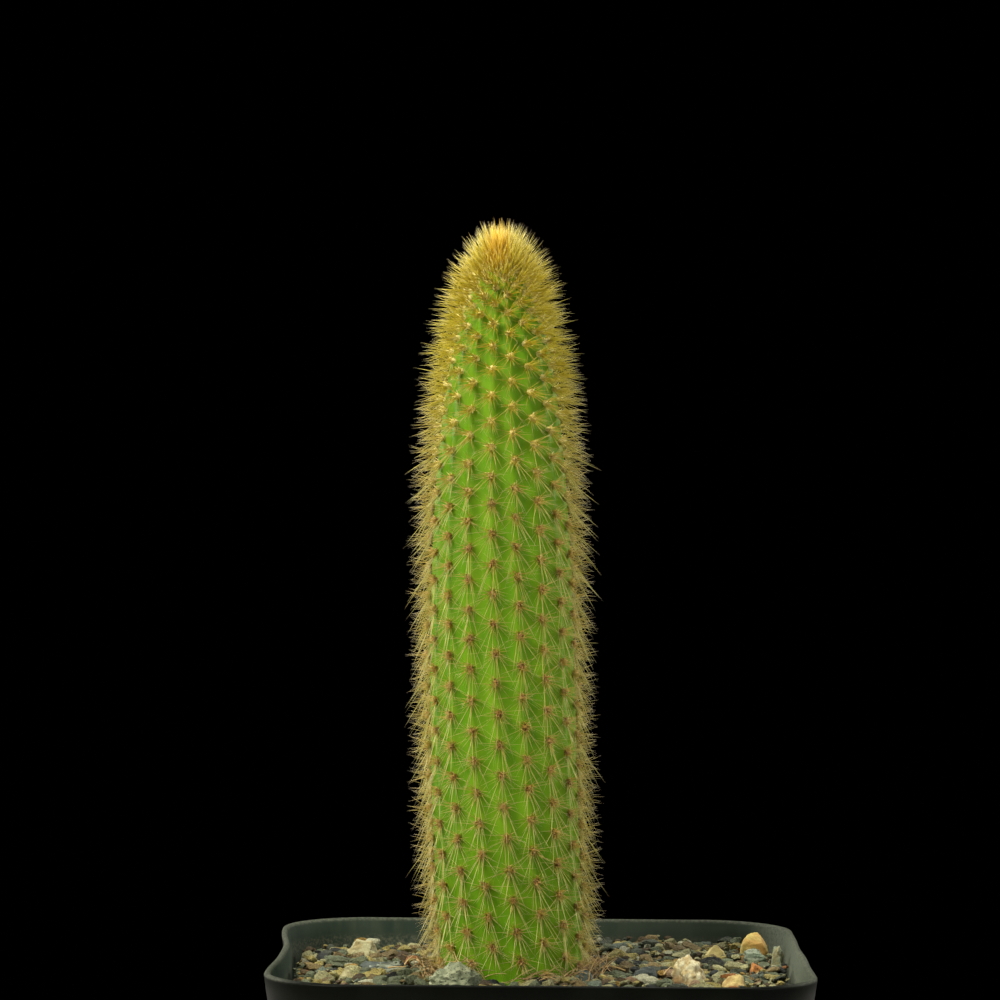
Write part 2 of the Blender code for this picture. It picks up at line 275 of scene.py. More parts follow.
def bmObject(name, bm, sharp=None, material=None):
    mesh = bpy.data.meshes.new(name)
    bm.to_mesh(mesh)
    bm.free()
    if material:
        mesh.materials.append(material)
    if sharp:
        mesh.shade_smooth()
        mesh.set_sharp_from_angle(angle=math.radians(sharp))
    return addObject(name, mesh)


def pointMesh(name, places, values):
    mesh = bpy.data.meshes.new(name)
    mesh.from_pydata([tuple(p) for p in places], [], [])
    for label, rows in values.items():
        width = len(rows[0]) if hasattr(rows[0], "__len__") else 1
        kind, field = {1: ("FLOAT", "value"), 3: ("FLOAT_VECTOR", "vector"), 4: ("FLOAT_COLOR", "color")}[width]
        mesh.attributes.new(label, kind, "POINT").data.foreach_set(field, np.array(rows, float).ravel())
    return mesh


def finishPiece(piece, slot, node):
    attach(piece, "root")
    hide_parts(node)
    print("made", piece.name, len(piece.data.polygons), "faces")


# Camera, light and floor

camera = {"side": -7.2, "away": 718, "high": 174, "down": 1.26, "roll": 0.45, "focal": 4250}

lens = bpy.data.cameras.new("camera")
lens.sensor_width = 36
lens.lens = camera["focal"] / 1000 * 36      # the focal length is in pixels of a 1000 pixel frame
viewer = addObject("camera", lens)
viewer.location = (camera["side"] * mm, -camera["away"] * mm, camera["high"] * mm)
tilt = Euler((math.radians(90 - camera["down"]), 0, 0)).to_matrix()
viewer.rotation_euler = (tilt @ Matrix.Rotation(math.radians(camera["roll"]), 3, "Z")).to_euler()
lens.clip_start, lens.clip_end = 0.01, 20
scene.camera = viewer
scene.view_settings.view_transform = "Standard"

# Each lamp's place, size, power in watts and colour; all of them point at the middle of the stem.
lamps = {
    "keyLeft": ((-420, -420, 620), 420, 9.4, (1.0, 0.94, 0.78)),
    "fillRight": ((520, -380, 330), 420, 1.9, (0.97, 0.97, 0.9)),
    "top": ((40, 160, 760), 380, 5.0, (1.0, 0.97, 0.88)),
    "rimLeft": ((-420, 330, 330), 300, 3.2, (1.0, 0.97, 0.88)),
    "rimRight": ((430, 330, 300), 300, 1.9, (1.0, 0.96, 0.88)),
}
for label, (place, size, power, colour) in lamps.items():
    lamp = bpy.data.lights.new(label, "AREA")
    lamp.shape, lamp.size, lamp.energy, lamp.color = "DISK", size * mm, power, colour
    shining = addObject(label, lamp)
    shining.location = [c * mm for c in place]
    shining.rotation_euler = (Vector((-5, 0, 110)) * mm - shining.location).to_track_quat("-Z", "Y").to_euler()
    shining.visible_camera = False

scene.world = bpy.data.worlds.new("studio")
scene.world.use_nodes = True
scene.world.node_tree.nodes["Background"].inputs["Color"].default_value = (0, 0, 0, 1)

studioFloor = {"radius": 500, "paleTo": 230, "colour": (0.52, 0.52, 0.5)}


def floorMaterial():
    material, coords = newMaterial("paleFloor")
    # A painted pool of light: the floor is pale in the middle and fades to near black towards its edge.
    fade = easeOver(vec("LENGTH", coords, out="Value"), (studioFloor["paleTo"], studioFloor["radius"]))
    pale = blend(grain(coords, 60, 3) * 0.25, studioFloor["colour"], (0.44, 0.44, 0.43))
    return dress(material, blend(fade, pale, (0.001, 0.001, 0.001)), 0.9, gloss=0.1)


bm = bmesh.new()
bmesh.ops.create_circle(bm, cap_ends=True, segments=96, radius=studioFloor["radius"] * mm)
bmObject("floor", bm, material=floorMaterial())
print("camera, lamps and floor are up")


# The stem: a leaning column with rounded ribs and a domed tip

stem = {
    "height": 120.4, "radius": 12.4, "foot": -9.0, "dome power": 4.0, "waist": 0.06, "waist reach": 6.0,
    "ribs": 18, "rib turn": -102.0, "twist": 21.0, "twist reach": 46.0, "rib depth": 0.5, "furrow": 1.7,
    "side": -4.5, "lean": 3.0, "lean reach": 45.0, "ground": 78.0,
    "points per rib": 10, "rings": 250, "crowding": 1.6, "tubercle": 0.12, "tubercle reach": 1.9,
    "rib fade": 0.6, "areole reach": 1.3,
}

# Rows of areoles: far apart on the stem, closer and closer towards its growing tip.
areole = {"pitch": 5.22, "growth": 5.25, "phase": 0.18, "shift": 8 / 18, "lowest": 1.2, "first": 0.35,
          "jitter": 0.12, "rows": 60, "seed": 3}


def stemRadius(height):
    share = min(max(height / stem["height"], 0), 1)
    waist = 1 - stem["waist"] * math.exp(-max(height, 0) / stem["waist reach"])
    return stem["radius"] * math.sqrt(1 - share ** stem["dome power"]) * waist


# The angle of a rib's crest at a height: the ribs wind round a little near the ground.
def crestAngle(height, rib):
    wound = stem["twist"] * math.exp(-max(height, 0) / stem["twist reach"])
    return math.radians(stem["rib turn"] + wound) + rib * tau / stem["ribs"]


def crestPoint(height, rib):
    drift = stem["lean"] * (1 - math.exp(-max(height, 0) / stem["lean reach"]))
    angle, radius = crestAngle(height, rib), stemRadius(height)
    return Vector((stem["side"] - drift + radius * math.cos(angle), radius * math.sin(angle),
                   stem["ground"] + height))


def areolePlaces():
    rng = random.Random(areole["seed"])
    heights = np.linspace(stem["height"], 0, 5000)
    arcs = np.concatenate([[0], np.cumsum(np.hypot(np.diff(heights), np.diff([stemRadius(h) for h in heights])))])
    places, rows = [], {"out": [], "down": [], "side": [], "arc": []}
    for rib in range(stem["ribs"]):
        for row in range(areole["rows"]):
            share = row + (areole["phase"] + rib * areole["shift"]) % 1
            arc = areole["pitch"] * (share - areole["growth"] * (1 - math.exp(-share / areole["growth"])))
            wobble = areole["jitter"] * min(1, arc / 10)
            arc += rng.uniform(-wobble, wobble)
            height = float(np.interp(arc, arcs, heights))
            if arc < areole["first"] or height < areole["lowest"]:
                continue
            place = rib + rng.uniform(-wobble, wobble) / stem["radius"] * stem["ribs"] / tau
            turn = crestAngle(height, place)
            step = min(0.3, (stem["height"] - height) / 2)
            down = (crestPoint(height - step, place) - crestPoint(height + step, place)).normalized()
            side = Vector((-math.sin(turn), math.cos(turn), 0))
            out = down.cross(side).normalized()
            if out.z < -0.2 or out.dot(Vector((math.cos(turn), math.sin(turn), 0))) < 0:
                out = -out
            places.append((crestPoint(height, place) + out * (stem["tubercle"] * min(1, arc / 12))) * mm)
            for label, value in zip(rows, (out, down, side, arc)):
                rows[label].append(value)
    print("areoles:", len(places))
    return pointMesh("areoles", places, rows)


def skinMaterial():
    material, coords = newMaterial("cactusSkin")
    crest, height, near = (attribute(coords, label) for label in ("crest", "rise", "near"))
    streaks, pores = grain(coords, 1.6, 4, stretch=(1, 1, 0.22)), cells(coords, 0.34)
    green = coats(
        (0.1, 0.27, 0.003), (ease(grain(coords, 6, 5), 0.35, 0.7), (0.15, 0.325, 0.006)),
        # Painted light and shade on the ribs: the crests are painted lighter and the furrows darker.
        (ease(streaks, 0.45, 0.75) * 0.35, (0.2, 0.36, 0.008)), (ease(crest, 0.45, 1) * 0.3, (0.22, 0.37, 0.01)),
        # Painted light and shade by height: the green is lighter over the lower half and darker towards the top.
        (ease(crest, 0.25, 0) * 0.4, (0.055, 0.2, 0.005)), (ease(height, 0.5, 0.1) * 0.85, (0.225, 0.43, 0.05)),
        # Painted shadow at the foot: the green is duller and darker below about 12 mm of the stem.
        (ease(height, 0.1, 0.04) * 0.6, (0.13, 0.15, 0.02)), (near * 0.4, (0.26, 0.3, 0.015)),
        (ease(height, 0.5, 0.95) * 0.85, (0.1, 0.215, 0.002)), (ease(pores, 0.2, 0.05) * 0.2, (0.36, 0.48, 0.06)))
    relief = pores * 0.3 + streaks * 0.5 + grain(coords, 0.5, 3) * 0.4
    return dress(material, green, 0.56 + streaks * 0.2, relief, gloss=0.16, inner=(0.15, 0.0015, (0.6, 1.0, 0.15)))


def columnTree(sizes):
    tree, size = newTree("column", sizes)
    grid = geo(tree, "MeshGrid", {"Size X": 1, "Size Y": 1, "Vertices X": size["ribs"] * size["points per rib"] + 1,
                                  "Vertices Y": size["rings"]})
    spot = split(geo(tree, "InputPosition"))
    along, angle = spot["Y"] + 0.5, (spot + 0.5) * tau
    height = size["foot"] + (size["height"] - size["foot"]) * (1 - (1 - along) ** size["crowding"])
    above = calc("MAXIMUM", height, 0)
    share = calc("MINIMUM", above / size["height"], 1)
    dome = calc("SQRT", calc("MAXIMUM", 1 - share ** size["dome power"], 0))
    waist = 1 - size["waist"] * fading(above / size["waist reach"])
    radius = size["radius"] * dome * waist * (along > 0.0001)
    wound = size["rib turn"] + size["twist"] * fading(above / size["twist reach"])
    wave = calc("ABSOLUTE", calc("SINE", size["ribs"] * (angle - degrees(wound)) / 2))
    depth = size["rib depth"] * calc("MINIMUM", radius / (size["rib fade"] * size["radius"]), 1)
    reach = radius - depth * wave ** size["furrow"]
    middle = size["side"] - size["lean"] * (1 - fading(above / size["lean reach"]))
    place = put(tree, "ShaderNodeCombineXYZ", None,
                {0: (middle + reach * calc("COSINE", angle)) * mm, 1: reach * calc("SINE", angle) * mm,
                 2: (size["ground"] + height) * mm})
    column = geo(tree, "SetPosition", {"Geometry": grid, "Position": place})
    column = geo(tree, "MergeByDistance", {"Geometry": column, "Distance": 0.01 * mm})
    column = keep(keep(column, "crest", 1 - wave), "rise", height / size["height"])
    # a low tubercle swells under each areole
    dots = geo(tree, "ObjectInfo", {"Object": size["areoles"]}, out="Geometry")
    far = geo(tree, "Proximity", {0: dots}, {"target_element": "POINTS"}, "Distance")
    swell = fading((far / (size["tubercle reach"] * mm)) ** 2) * size["tubercle"] * mm
    column = geo(tree, "SetPosition", {"Geometry": column, "Offset": scaled(geo(tree, "InputNormal"), swell)})
    return endTree(tree, keep(column, "near", fading((far / (size["areole reach"] * mm)) ** 2)), size["material"])


areoleMesh = areolePlaces()
areoleHolder = addObject("areoleHolder", areoleMesh)
sizes = {**stem, "areoles": areoleHolder, "material": skinMaterial()}
column = runTree(columnTree(sizes), "stemBody", bpy.data.meshes.new("stem"), sizes)
finishPiece(column, "cactus_skin", "cactus")


# Spines: each areole sends out a star of needles, which are combed down as it ages

# How many needles of a kind an areole has, and their sizes and angles on young and on old ones.
familySizes = ("count", "length young", "length old", "length spread", "width", "out young", "out old", "out spread",
               "fan young", "fan old", "scatter", "gold", "seed")
needleFamilies = {
    "spinesLong": (5, 4.6, 7.8, 0.2, 0.125, 74.0, 21.0, 8.0, 180.0, 28.0, 0.36, 0.25, 11),
    "spinesSide": (8, 4.0, 4.7, 0.26, 0.1, 60.0, 24.0, 13.0, 180.0, 110.0, 0.42, 0.3, 23),
    "spinesFine": (8, 2.5, 3.1, 0.28, 0.08, 35.0, 15.0, 12.0, 180.0, 140.0, 0.42, 0.0, 37),
    "spinesCentral": (18, 4.8, 3.55, 0.3, 0.09, 76.0, 63.0, 21.0, 180.0, 170.0, 0.85, 1.0, 41),
    "areoleTufts": (22, 1.3, 1.2, 0.3, 0.17, 68.0, 63.0, 25.0, 180.0, 180.0, 0.45, 1.0, 53),
}
combing = {
    "young until": 12.0, "old from": 62.0, "combed from": 42.0, "ground": 78.6, "shortest": 0.8, "stray": 0.13,
    "young stray": 0.16, "young width": 0.4, "young apart": 0.5, "crown": 0.7, "crown reach": 4.6,
    "crown length": 0.34, "sag": 0.3, "ceiling": 206.3, "fan jitter": 0.4, "width jitter": 0.2,
}


# A needle one unit long and one wide, bent a little towards +X, with its way along it as an attribute.
def needleMesh(name, rings, bend):
    bm = bmesh.new()
    along = bm.verts.layers.float.new("along")
    loops = []
    for share, width in rings:
        loops.append([bm.verts.new((width / 2 * math.cos(i * tau / 3) + bend * share ** 2,
                                    width / 2 * math.sin(i * tau / 3), share)) for i in range(3)])
        for vert in loops[-1]:
            vert[along] = share
    tip = bm.verts.new((bend, 0, 1))
    tip[along] = 1
    bm.faces.new(reversed(loops[0]))
    for i in range(3):
        j = (i + 1) % 3
        for lower, upper in zip(loops, loops[1:]):
            bm.faces.new((lower[i], lower[j], upper[j], upper[i]))
        bm.faces.new((loops[-1][i], loops[-1][j], tip))
    return bmObject(name, bm)


def needleTree(sizes):
    tree, size = newTree("needles", sizes)
    copies = geo(tree, "DuplicateElements", {"Geometry": size["Geometry"], "Amount": size["count"]},
                 {"domain": "POINT"})
    index = geo(tree, "InputIndex")

    def chance(number, least=-1, most=1, kind="FLOAT"):      # another for each needle
        return put(tree, "FunctionNodeRandomValue", {"data_type": kind},
                   {"Min": least, "Max": most, "ID": index, "Seed": size["seed"] + number})

    out, down, side = (named(tree, label, "FLOAT_VECTOR") for label in ("out", "down", "side"))
    arc = named(tree, "arc")
    young = 1 - ease(arc, size["young until"], size["old from"])
    loose = 1 - ease(arc, size["young until"], size["combed from"])

    def aged(label, share=young):
        return size[label + " old"] + (size[label + " young"] - size[label + " old"]) * share

    share = (copies["Duplicate Index"] + 0.5 + chance(1) * size["fan jitter"]) / size["count"] * 2 - 1
    fan = degrees(share * aged("fan", loose))
    lift = degrees(calc("MINIMUM", aged("out") + chance(2) * size["out spread"], 90))
    flat = vec("ADD", scaled(down, calc("COSINE", fan)), scaled(side, calc("SINE", fan)))
    way = vec("ADD", scaled(out, calc("SINE", lift)), scaled(flat, calc("COSINE", lift)))
    newest = fading(arc / size["crown reach"])      # those of the crown stand up
    way = vec("ADD", way, scaled(up, newest * size["crown"]))
    way = vec("ADD", way, scaled(down, (1 - newest) * young * size["sag"]))
    stray = scaled(chance(9, (-1, -1, -1), (1, 1, 1), "FLOAT_VECTOR"), size["stray"] + size["young stray"] * young)
    way = vec("NORMALIZE", vec("ADD", way, stray))
    spot, rising = split(geo(tree, "InputPosition"), "Z"), split(way, "Z")
    room = calc("MAXIMUM", (spot - size["ground"] * mm) / calc("MAXIMUM", 0 - rising, 0.02), size["shortest"] * mm)
    headroom = (size["ceiling"] * mm - spot) / calc("MAXIMUM", rising, 0.02) * (0.9 + chance(7) * 0.1)
    length = aged("length") * (1 + size["crown length"] * newest) * (1 + chance(3) * size["length spread"]) * mm
    length = calc("MINIMUM", calc("MINIMUM", length, room), headroom)
    apart = size["scatter"] * (1 - young * size["young apart"]) * mm
    shift = vec("ADD", scaled(down, chance(4) * apart), scaled(side, chance(5) * apart))
    copies = geo(tree, "SetPosition", {"Geometry": copies, "Offset": shift})
    face = put(tree, "FunctionNodeAlignRotationToVector", {"axis": "Z"}, {"Vector": way})
    face = put(tree, "FunctionNodeAlignRotationToVector", {"axis": "X", "pivot_axis": "Z"},
               {"Rotation": face, "Vector": (0, 0, -1)})
    width = size["width"] * (1 + chance(6) * size["width jitter"] + young * size["young width"]) * mm
    scale = put(tree, "ShaderNodeCombineXYZ", None, {0: width, 1: width, 2: length})
    needle = geo(tree, "ObjectInfo", {"Object": size["needle"]}, out="Geometry")
    grown = geo(tree, "InstanceOnPoints", {"Points": copies, "Instance": needle, "Rotation": face, "Scale": scale})
    tone = put(tree, "FunctionNodeRandomValue", {"data_type": "FLOAT"}, {"Seed": size["seed"]})
    grown = keep(keep(grown, "tone", tone, "INSTANCE"), "gold", size["gold"], "INSTANCE")
    return endTree(tree, grown, size["material"])


# The newest spines glow orange, in a streak on the front of the crown.
heart = {"side": -7.9, "away": -2.4, "width": (3.2, 0.6), "height": (196.5, 199.0)}


def spineMaterial():
    material, coords = newMaterial("spine")
    along, tone, arc, gold = (attribute(coords, label) for label in ("along", "tone", "arc", "gold"))

    def ramp(*stops):
        return put(coords.tree, "ShaderNodeValToRGB", {"stops": stops}, {"Fac": along})

    pale = ramp((0, (0.4, 0.3, 0.035)), (0.12, (0.34, 0.315, 0.042)), (0.4, (0.325, 0.315, 0.054)),
                (0.85, (0.41, 0.38, 0.1)), (1, (0.66, 0.61, 0.39)))
    golden = ramp((0, (0.41, 0.245, 0.027)), (0.15, (0.42, 0.3, 0.036)), (0.45, (0.36, 0.25, 0.04)),
                  (0.8, (0.42, 0.315, 0.095)), (1, (0.75, 0.65, 0.43)))
    # Young spines are painted brightest at the root and darker towards the tip: painted light in the shaded roots and
    # painted shade on the lit tips.
    fresh = ramp((0, (0.86, 0.67, 0.08)), (0.15, (0.61, 0.46, 0.03)), (0.5, (0.4, 0.32, 0.014)),
                 (0.8, (0.31, 0.25, 0.024)), (1, (0.44, 0.37, 0.13)))
    spot = split(coords)
    aside = calc("SQRT", (spot - heart["side"] * mm) ** 2 + ((spot["Y"] - heart["away"] * mm) * 0.5) ** 2)
    streak = easeOver(aside, heart["width"]) * easeOver(spot["Z"], heart["height"]) * ease(arc, 9, 5)
    colour = coats(
        blend(ease(arc, 16, 42), fresh, blend(gold, pale, golden)),
        # Painted highlight: the roots of younger spines are painted lighter, where they lie in shade.
        (ease(along, 0.3, 0.05) * ease(arc, 48, 26) * 0.8, (0.85, 0.67, 0.12)),
        # Older spines bleach paler; the newest spines at the crown are painted darker, a painted shade against the
        # light from above.
        (ease(arc, 70, 115) * (1 - gold) * 0.5, (0.68, 0.58, 0.24)), (ease(arc, 13, 6) * 0.5, (0.29, 0.19, 0.004)),
        (streak * 0.8, (0.5, 0.23, 0.004)),
        (ease(tone, 0.55, 1) * gold * ease(arc, 26, 50) * 0.35, (0.4, 0.25, 0.035)))
    return dress(material, colour, 0.4 + tone * 0.15, gloss=0.3, inner=(0.3, 0.0006, (1.0, 0.8, 0.3)))


def tuftMaterial():
    material, coords = newMaterial("areoleFelt")
    along, tone, arc = (attribute(coords, label) for label in ("along", "tone", "arc"))
    way, age = ease(along, 0.1, 0.9), ease(arc, 28, 50)
    fresh = blend(way, (0.95, 0.78, 0.2), (0.98, 0.9, 0.42))
    colour = coats(fresh, (age, blend(way, (0.36, 0.18, 0.045), (0.75, 0.5, 0.2))),
                   (ease(tone, 0.6, 1) * age * 0.35, (0.36, 0.17, 0.03)))
    return dress(material, colour, 0.55 + tone * 0.3, gloss=0.2)


needle = needleMesh("needle", ((0, 1.5), (0.1, 1.0), (0.6, 0.72)), 0.07)
hair = needleMesh("hair", ((0, 1.2), (0.55, 0.75)), 0.1)
spineFinish, tuftFinish = spineMaterial(), tuftMaterial()
spineTree = None
for name, family in needleFamilies.items():
    sizes = {**dict(zip(familySizes, family)), **combing,
             "needle": hair if name in ("spinesFine", "areoleTufts") else needle,
             "material": tuftFinish if name == "areoleTufts" else spineFinish}
    spineTree = spineTree or needleTree(sizes)
    finishPiece(runTree(spineTree, name, areoleMesh.copy(), sizes), "cactus_skin", "cactus")
for spare in (needle, hair, areoleHolder):
    bpy.data.objects.remove(spare)


# The pot: thin moulded plastic with a rolled lip, dusty inside, with painted shade outside and painted light on the
# inner walls to the right

pot = {
    "half": 45.0, "height": 82.0, "corner": 15.0, "base half": 32.0, "base corner": 9.0, "wall": 1.1,
    "band": 9.0, "step": 1.3, "slope": 1.2, "foot": 2.0, "foot width": 3.0, "floor": 1.3, "dent": 1.3,
    "wave": 0.12, "edge": 0.35, "corner steps": 12, "side steps": 20, "wall rings": 12, "lip steps": 8,
    "drain": 4.5, "drain offset": 17.0, "notch width": 10.0, "notch height": 1.4,
}


# Half the width of the tapering wall at a height, without the rim's band, and its corners' radius.
def potHalf(z):
    return pot["base half"] + (pot["half"] - pot["step"] - pot["base half"]) * z / pot["height"]


def potCorner(z):
    return pot["base corner"] + (pot["corner"] - pot["base corner"]) * z / pot["height"]


# A rounded square, counter-clockwise from above, with its left side bowed in and all sides a little wavy.
def potRing(z, grown):
    half, corner = potHalf(z) + grown, potCorner(z) + min(grown, 0)
    flat = half - corner
    ring = []
    for side in range(4):
        turn = Matrix.Rotation(side * tau / 4, 3, "Z")
        for step in range(1, pot["side steps"]):
            share = 2 * step / pot["side steps"] - 1
            bow = pot["dent"] * math.cos(share * math.pi / 2) ** 2 if side == 2 else 0
            ripple = pot["wave"] * (1 + math.sin(7 * share + 2 * side)) * (1 - share ** 2)
            ring.append(turn @ Vector((half - (bow + ripple) * (z / pot["height"]) ** 2, flat * share, z)))
        for step in range(pot["corner steps"] + 1):
            angle = step / pot["corner steps"] * tau / 4
            ring.append(turn @ Vector((flat + corner * math.cos(angle), flat + corner * math.sin(angle), z)))
    return ring


def skinRings(name, rings, material):
    bm = bmesh.new()
    loops = [[bm.verts.new(point * mm) for point in ring] for ring in rings]
    for low, high in zip(loops, loops[1:]):
        for i in range(len(low)):
            bm.faces.new((low[i - 1], low[i], high[i], high[i - 1]))
    bm.faces.new(reversed(loops[0]))
    bm.faces.new(loops[-1])
    return bmObject(name, bm, 180, material)


def potRings():
    edge, wall, step, slope = pot["edge"], pot["wall"], pot["step"], pot["slope"]
    bandLow, lipLow = pot["height"] - pot["band"], pot["height"] - wall / 2
    rise = bandLow - slope - edge
    outer = [(0, -edge), (0.12, -0.12), (edge, 0)]
    outer += [(edge + rise * i / pot["wall rings"], 0) for i in range(1, pot["wall rings"])]
    outer += [(bandLow - slope, 0), (bandLow - 0.9 * slope, 0.12), (bandLow - 0.1 * slope, step - 0.1)]
    outer += [(bandLow + (lipLow - bandLow) * i / 4, step) for i in range(5)]
    rings = [potRing(z, grown) for z, grown in outer]
    for i in range(1, pot["lip steps"]):
        angle = math.pi * i / pot["lip steps"]
        rings.append(potRing(lipLow + wall / 2 * math.sin(angle), step - wall / 2 * (1 - math.cos(angle))))
    floorTop, footGrown = pot["foot"] + pot["floor"], -pot["foot width"]
    rings += [potRing(z, grown - wall) for z, grown in reversed(outer) if z > floorTop]
    rings.append(potRing(floorTop, -wall))
    return [potRing(pot["foot"], footGrown - 0.3), potRing(0.15, footGrown), potRing(0, footGrown + 0.15)] + rings


def potCutters():
    for x, y in ((0, 0), (1, 1), (-1, 1), (-1, -1), (1, -1)):
        bm = bmesh.new()
        bmesh.ops.create_cone(bm, cap_ends=True, segments=40, radius1=pot["drain"] * mm, radius2=pot["drain"] * mm,
                              depth=3 * (pot["foot"] + pot["floor"]) * mm,
                              matrix=Matrix.Translation(Vector((x, y, 0)) * pot["drain offset"] * mm))
        yield bmObject("drain", bm)
    across = 2.2 * pot["base half"]
    for size in ((across, pot["notch width"]), (pot["notch width"], across)):
        bm = bmesh.new()
        bmesh.ops.create_cube(bm, size=mm, matrix=Matrix.Diagonal((*size, 2 * pot["notch height"], 1)))
        yield bmObject("notch", bm)


# Where dust lies, and where the inner walls towards the right are painted lighter: each pair is where it starts and
# where it is whole; the front part of the lip has none.
dust = {"wiped": (-34.0, -44.0), "lip": (81.25, 81.85), "right wall": (37.0, 42.0), "back wall": (-5.0, 30.0),
        "crust foot": (75.0, 77.0), "crust top": (79.6, 78.2)}


def potMaterial():
    material, coords = newMaterial("dustyBlackPlastic")
    spot = split(coords, "Z")
    normal = put(coords.tree, "ShaderNodeNewGeometry", out="Normal")
    outward = vec("NORMALIZE", vec("MULTIPLY", coords, (1, 1, 0)))
    inside = ease(vec("DOT_PRODUCT", normal, outward, out="Value"), 0.1, -0.5)
    # The front part of the lip has no dust.
    lip = easeOver(spot, dust["lip"]) * (1 - easeOver(spot["Y"], dust["wiped"]))
    patches, fine = grain(coords, 11, 5), grain(coords, 0.5, 4, 0.65)
    runs = grain(coords, 2.2, 4, stretch=(1, 1, 0.12))
    # Painted shade: the outside is painted far darker than black plastic; its faint patches and specks are dust.
    plain = coats((0.0012, 0.0018, 0.0012), (ease(patches, 0.4, 0.75) * 0.6, (0.004, 0.005, 0.0034)),
                  (ease(fine, 0.66, 0.78) * 0.25, (0.045, 0.048, 0.034)))
    # Lighter on the inner walls to the right: dust and painted light on the right wall, and painted light alone
    # across the right half.
    pale = easeOver(spot["X"], dust["right wall"]) * ease(fine, 0.25, 0.6) * 0.6
    pale = pale + easeOver(spot["X"], dust["back wall"]) * 0.22
    crust = easeOver(spot, dust["crust top"]) * easeOver(spot, dust["crust foot"]) * ease(fine, 0.4, 0.65)
    innerDustAndLight = coats((0.018, 0.029, 0.022), (ease(patches, 0.3, 0.7), (0.032, 0.046, 0.035)),
                  (ease(runs, 0.45, 0.8) * 0.5, (0.05, 0.062, 0.045)), (pale, (0.095, 0.11, 0.085)),
                  (crust * 0.6, (0.1, 0.1, 0.07)))
    worn = blend(ease(fine, 0.35, 0.7), (0.03, 0.036, 0.026), (0.085, 0.093, 0.07))
    rough = 0.36 + calc("MAXIMUM", inside, lip) * 0.36 + patches * 0.12
    return dress(material, coats(plain, (inside, innerDustAndLight), (lip * 0.85, worn)), rough,
                 fine * 0.6 + cells(coords, 0.8) * 0.3 + runs * 0.3, 0.3, 0.05, gloss=0.05)


plasticPot = skinRings("nurseryPot", potRings(), potMaterial())
drills = bpy.data.collections.new("drills")
for cutter in potCutters():
    drills.objects.link(cutter)
drilled = plasticPot.modifiers.new("drains", "BOOLEAN")
drilled.operation, drilled.operand_type, drilled.solver = "DIFFERENCE", "COLLECTION", "EXACT"
drilled.collection = drills
applied(plasticPot)
for cutter in list(drills.objects):
    bpy.data.objects.remove(cutter)
plasticPot.data.shade_smooth()
plasticPot.data.set_sharp_from_angle(angle=math.radians(40))
finishPiece(plasticPot, "black_plastic", "pot")


# Stones: an icosphere, roughened, with flats where planes chop it

# How common each colour is in the gravel, and the colour.
palette = {
    "cream": (17, (0.31, 0.305, 0.155)), "straw": (15, (0.305, 0.262, 0.085)), "tan": (12, (0.185, 0.141, 0.06)),
    "ochre": (4, (0.27, 0.17, 0.04)), "sage": (26, (0.12, 0.145, 0.085)), "slate": (12, (0.058, 0.07, 0.05)),
    "ink": (5, (0.018, 0.022, 0.02)), "blue": (3, (0.1, 0.13, 0.1)), "white": (4, (0.42, 0.43, 0.3)),
    "rust": (1, (0.24, 0.1, 0.03)), "umber": (8, (0.07, 0.048, 0.02)), "pink": (1, (0.22, 0.15, 0.09)),
}


# Planes chop the stone, each leaving a share of it between the two in keepShare; lumps, rough and knobs are how
# far its swellings, pits and round knobs reach, and layers how far its splitting planes step in and out.
def stoneBm(rng, detail, chops=8, keepShare=(0.58, 0.9), lumps=0.25, rough=0.08, knobs=0, layers=0):
    bm = bmesh.new()
    bmesh.ops.create_icosphere(bm, subdivisions=detail, radius=1)
    shift = Vector([rng.uniform(-50, 50) for axis in range(3)])
    for vert in bm.verts:
        vert.co *= 1 + lumps * noise.noise(vert.co / 0.9 + shift)
    for chop in range(chops):
        normal = Vector([rng.gauss(0, 1) for axis in range(3)]).normalized()
        limit = rng.uniform(*keepShare)
        for vert in bm.verts:
            vert.co -= normal * max(vert.co.dot(normal) - limit, 0) * 0.96
    for vert in bm.verts:
        spot = Vector((vert.co.x, vert.co.y, 1.5 * vert.co.z)) * 2.6 + shift
        swell = rough * noise.fractal(spot, 0.7, 2.1, 4)
        if knobs:
            swell += knobs * (0.5 - min(noise.voronoi(spot)[0][0], 0.9))
        if layers:
            step = round(vert.co.z * 6 + noise.noise(spot * 0.5))
            swell += layers * noise.noise(Vector((step * 3.7, vert.co.x, vert.co.y)) + shift)
        vert.co *= 1 + swell
    lows = [min(vert.co[axis] for vert in bm.verts) for axis in range(3)]
    highs = [max(vert.co[axis] for vert in bm.verts) for axis in range(3)]
    for vert in bm.verts:
        for axis in range(3):
            vert.co[axis] = 2 * (vert.co[axis] - lows[axis]) / (highs[axis] - lows[axis]) - 1
    return bm


def gravelMaterial():
    material, coords = newMaterial("mixedGravel")
    tint = attribute(coords, "tint", "Color")
    patches, fine, dots = grain(coords, 1.3, 4), grain(coords, 0.26, 5, 0.72), cells(coords, 0.4)
    colour = blend(ease(patches, 0.35, 0.7) * 0.6, tint, times(tint, (0.6, 0.56, 0.5)))
    speckled = blend(ease(dots, 0.3, 0.14), colour, times(tint, (0.16, 0.17, 0.17)))
    colour = coats(colour, (ease(attribute(coords, "kind"), 0.4, 0.55) * 0.8, speckled),
                   (ease(fine, 0.51, 0.66) * 0.5, times(tint, (1.8, 1.75, 1.5))),
                   (ease(fine, 0.5, 0.36) * 0.8, times(tint, (0.25, 0.23, 0.2))))
    relief = fine * 1.2 + patches * 0.5 + dots * 0.5
    return dress(material, colour, 0.72 + fine * 0.25, relief, 1.0, 0.32, gloss=0.25)


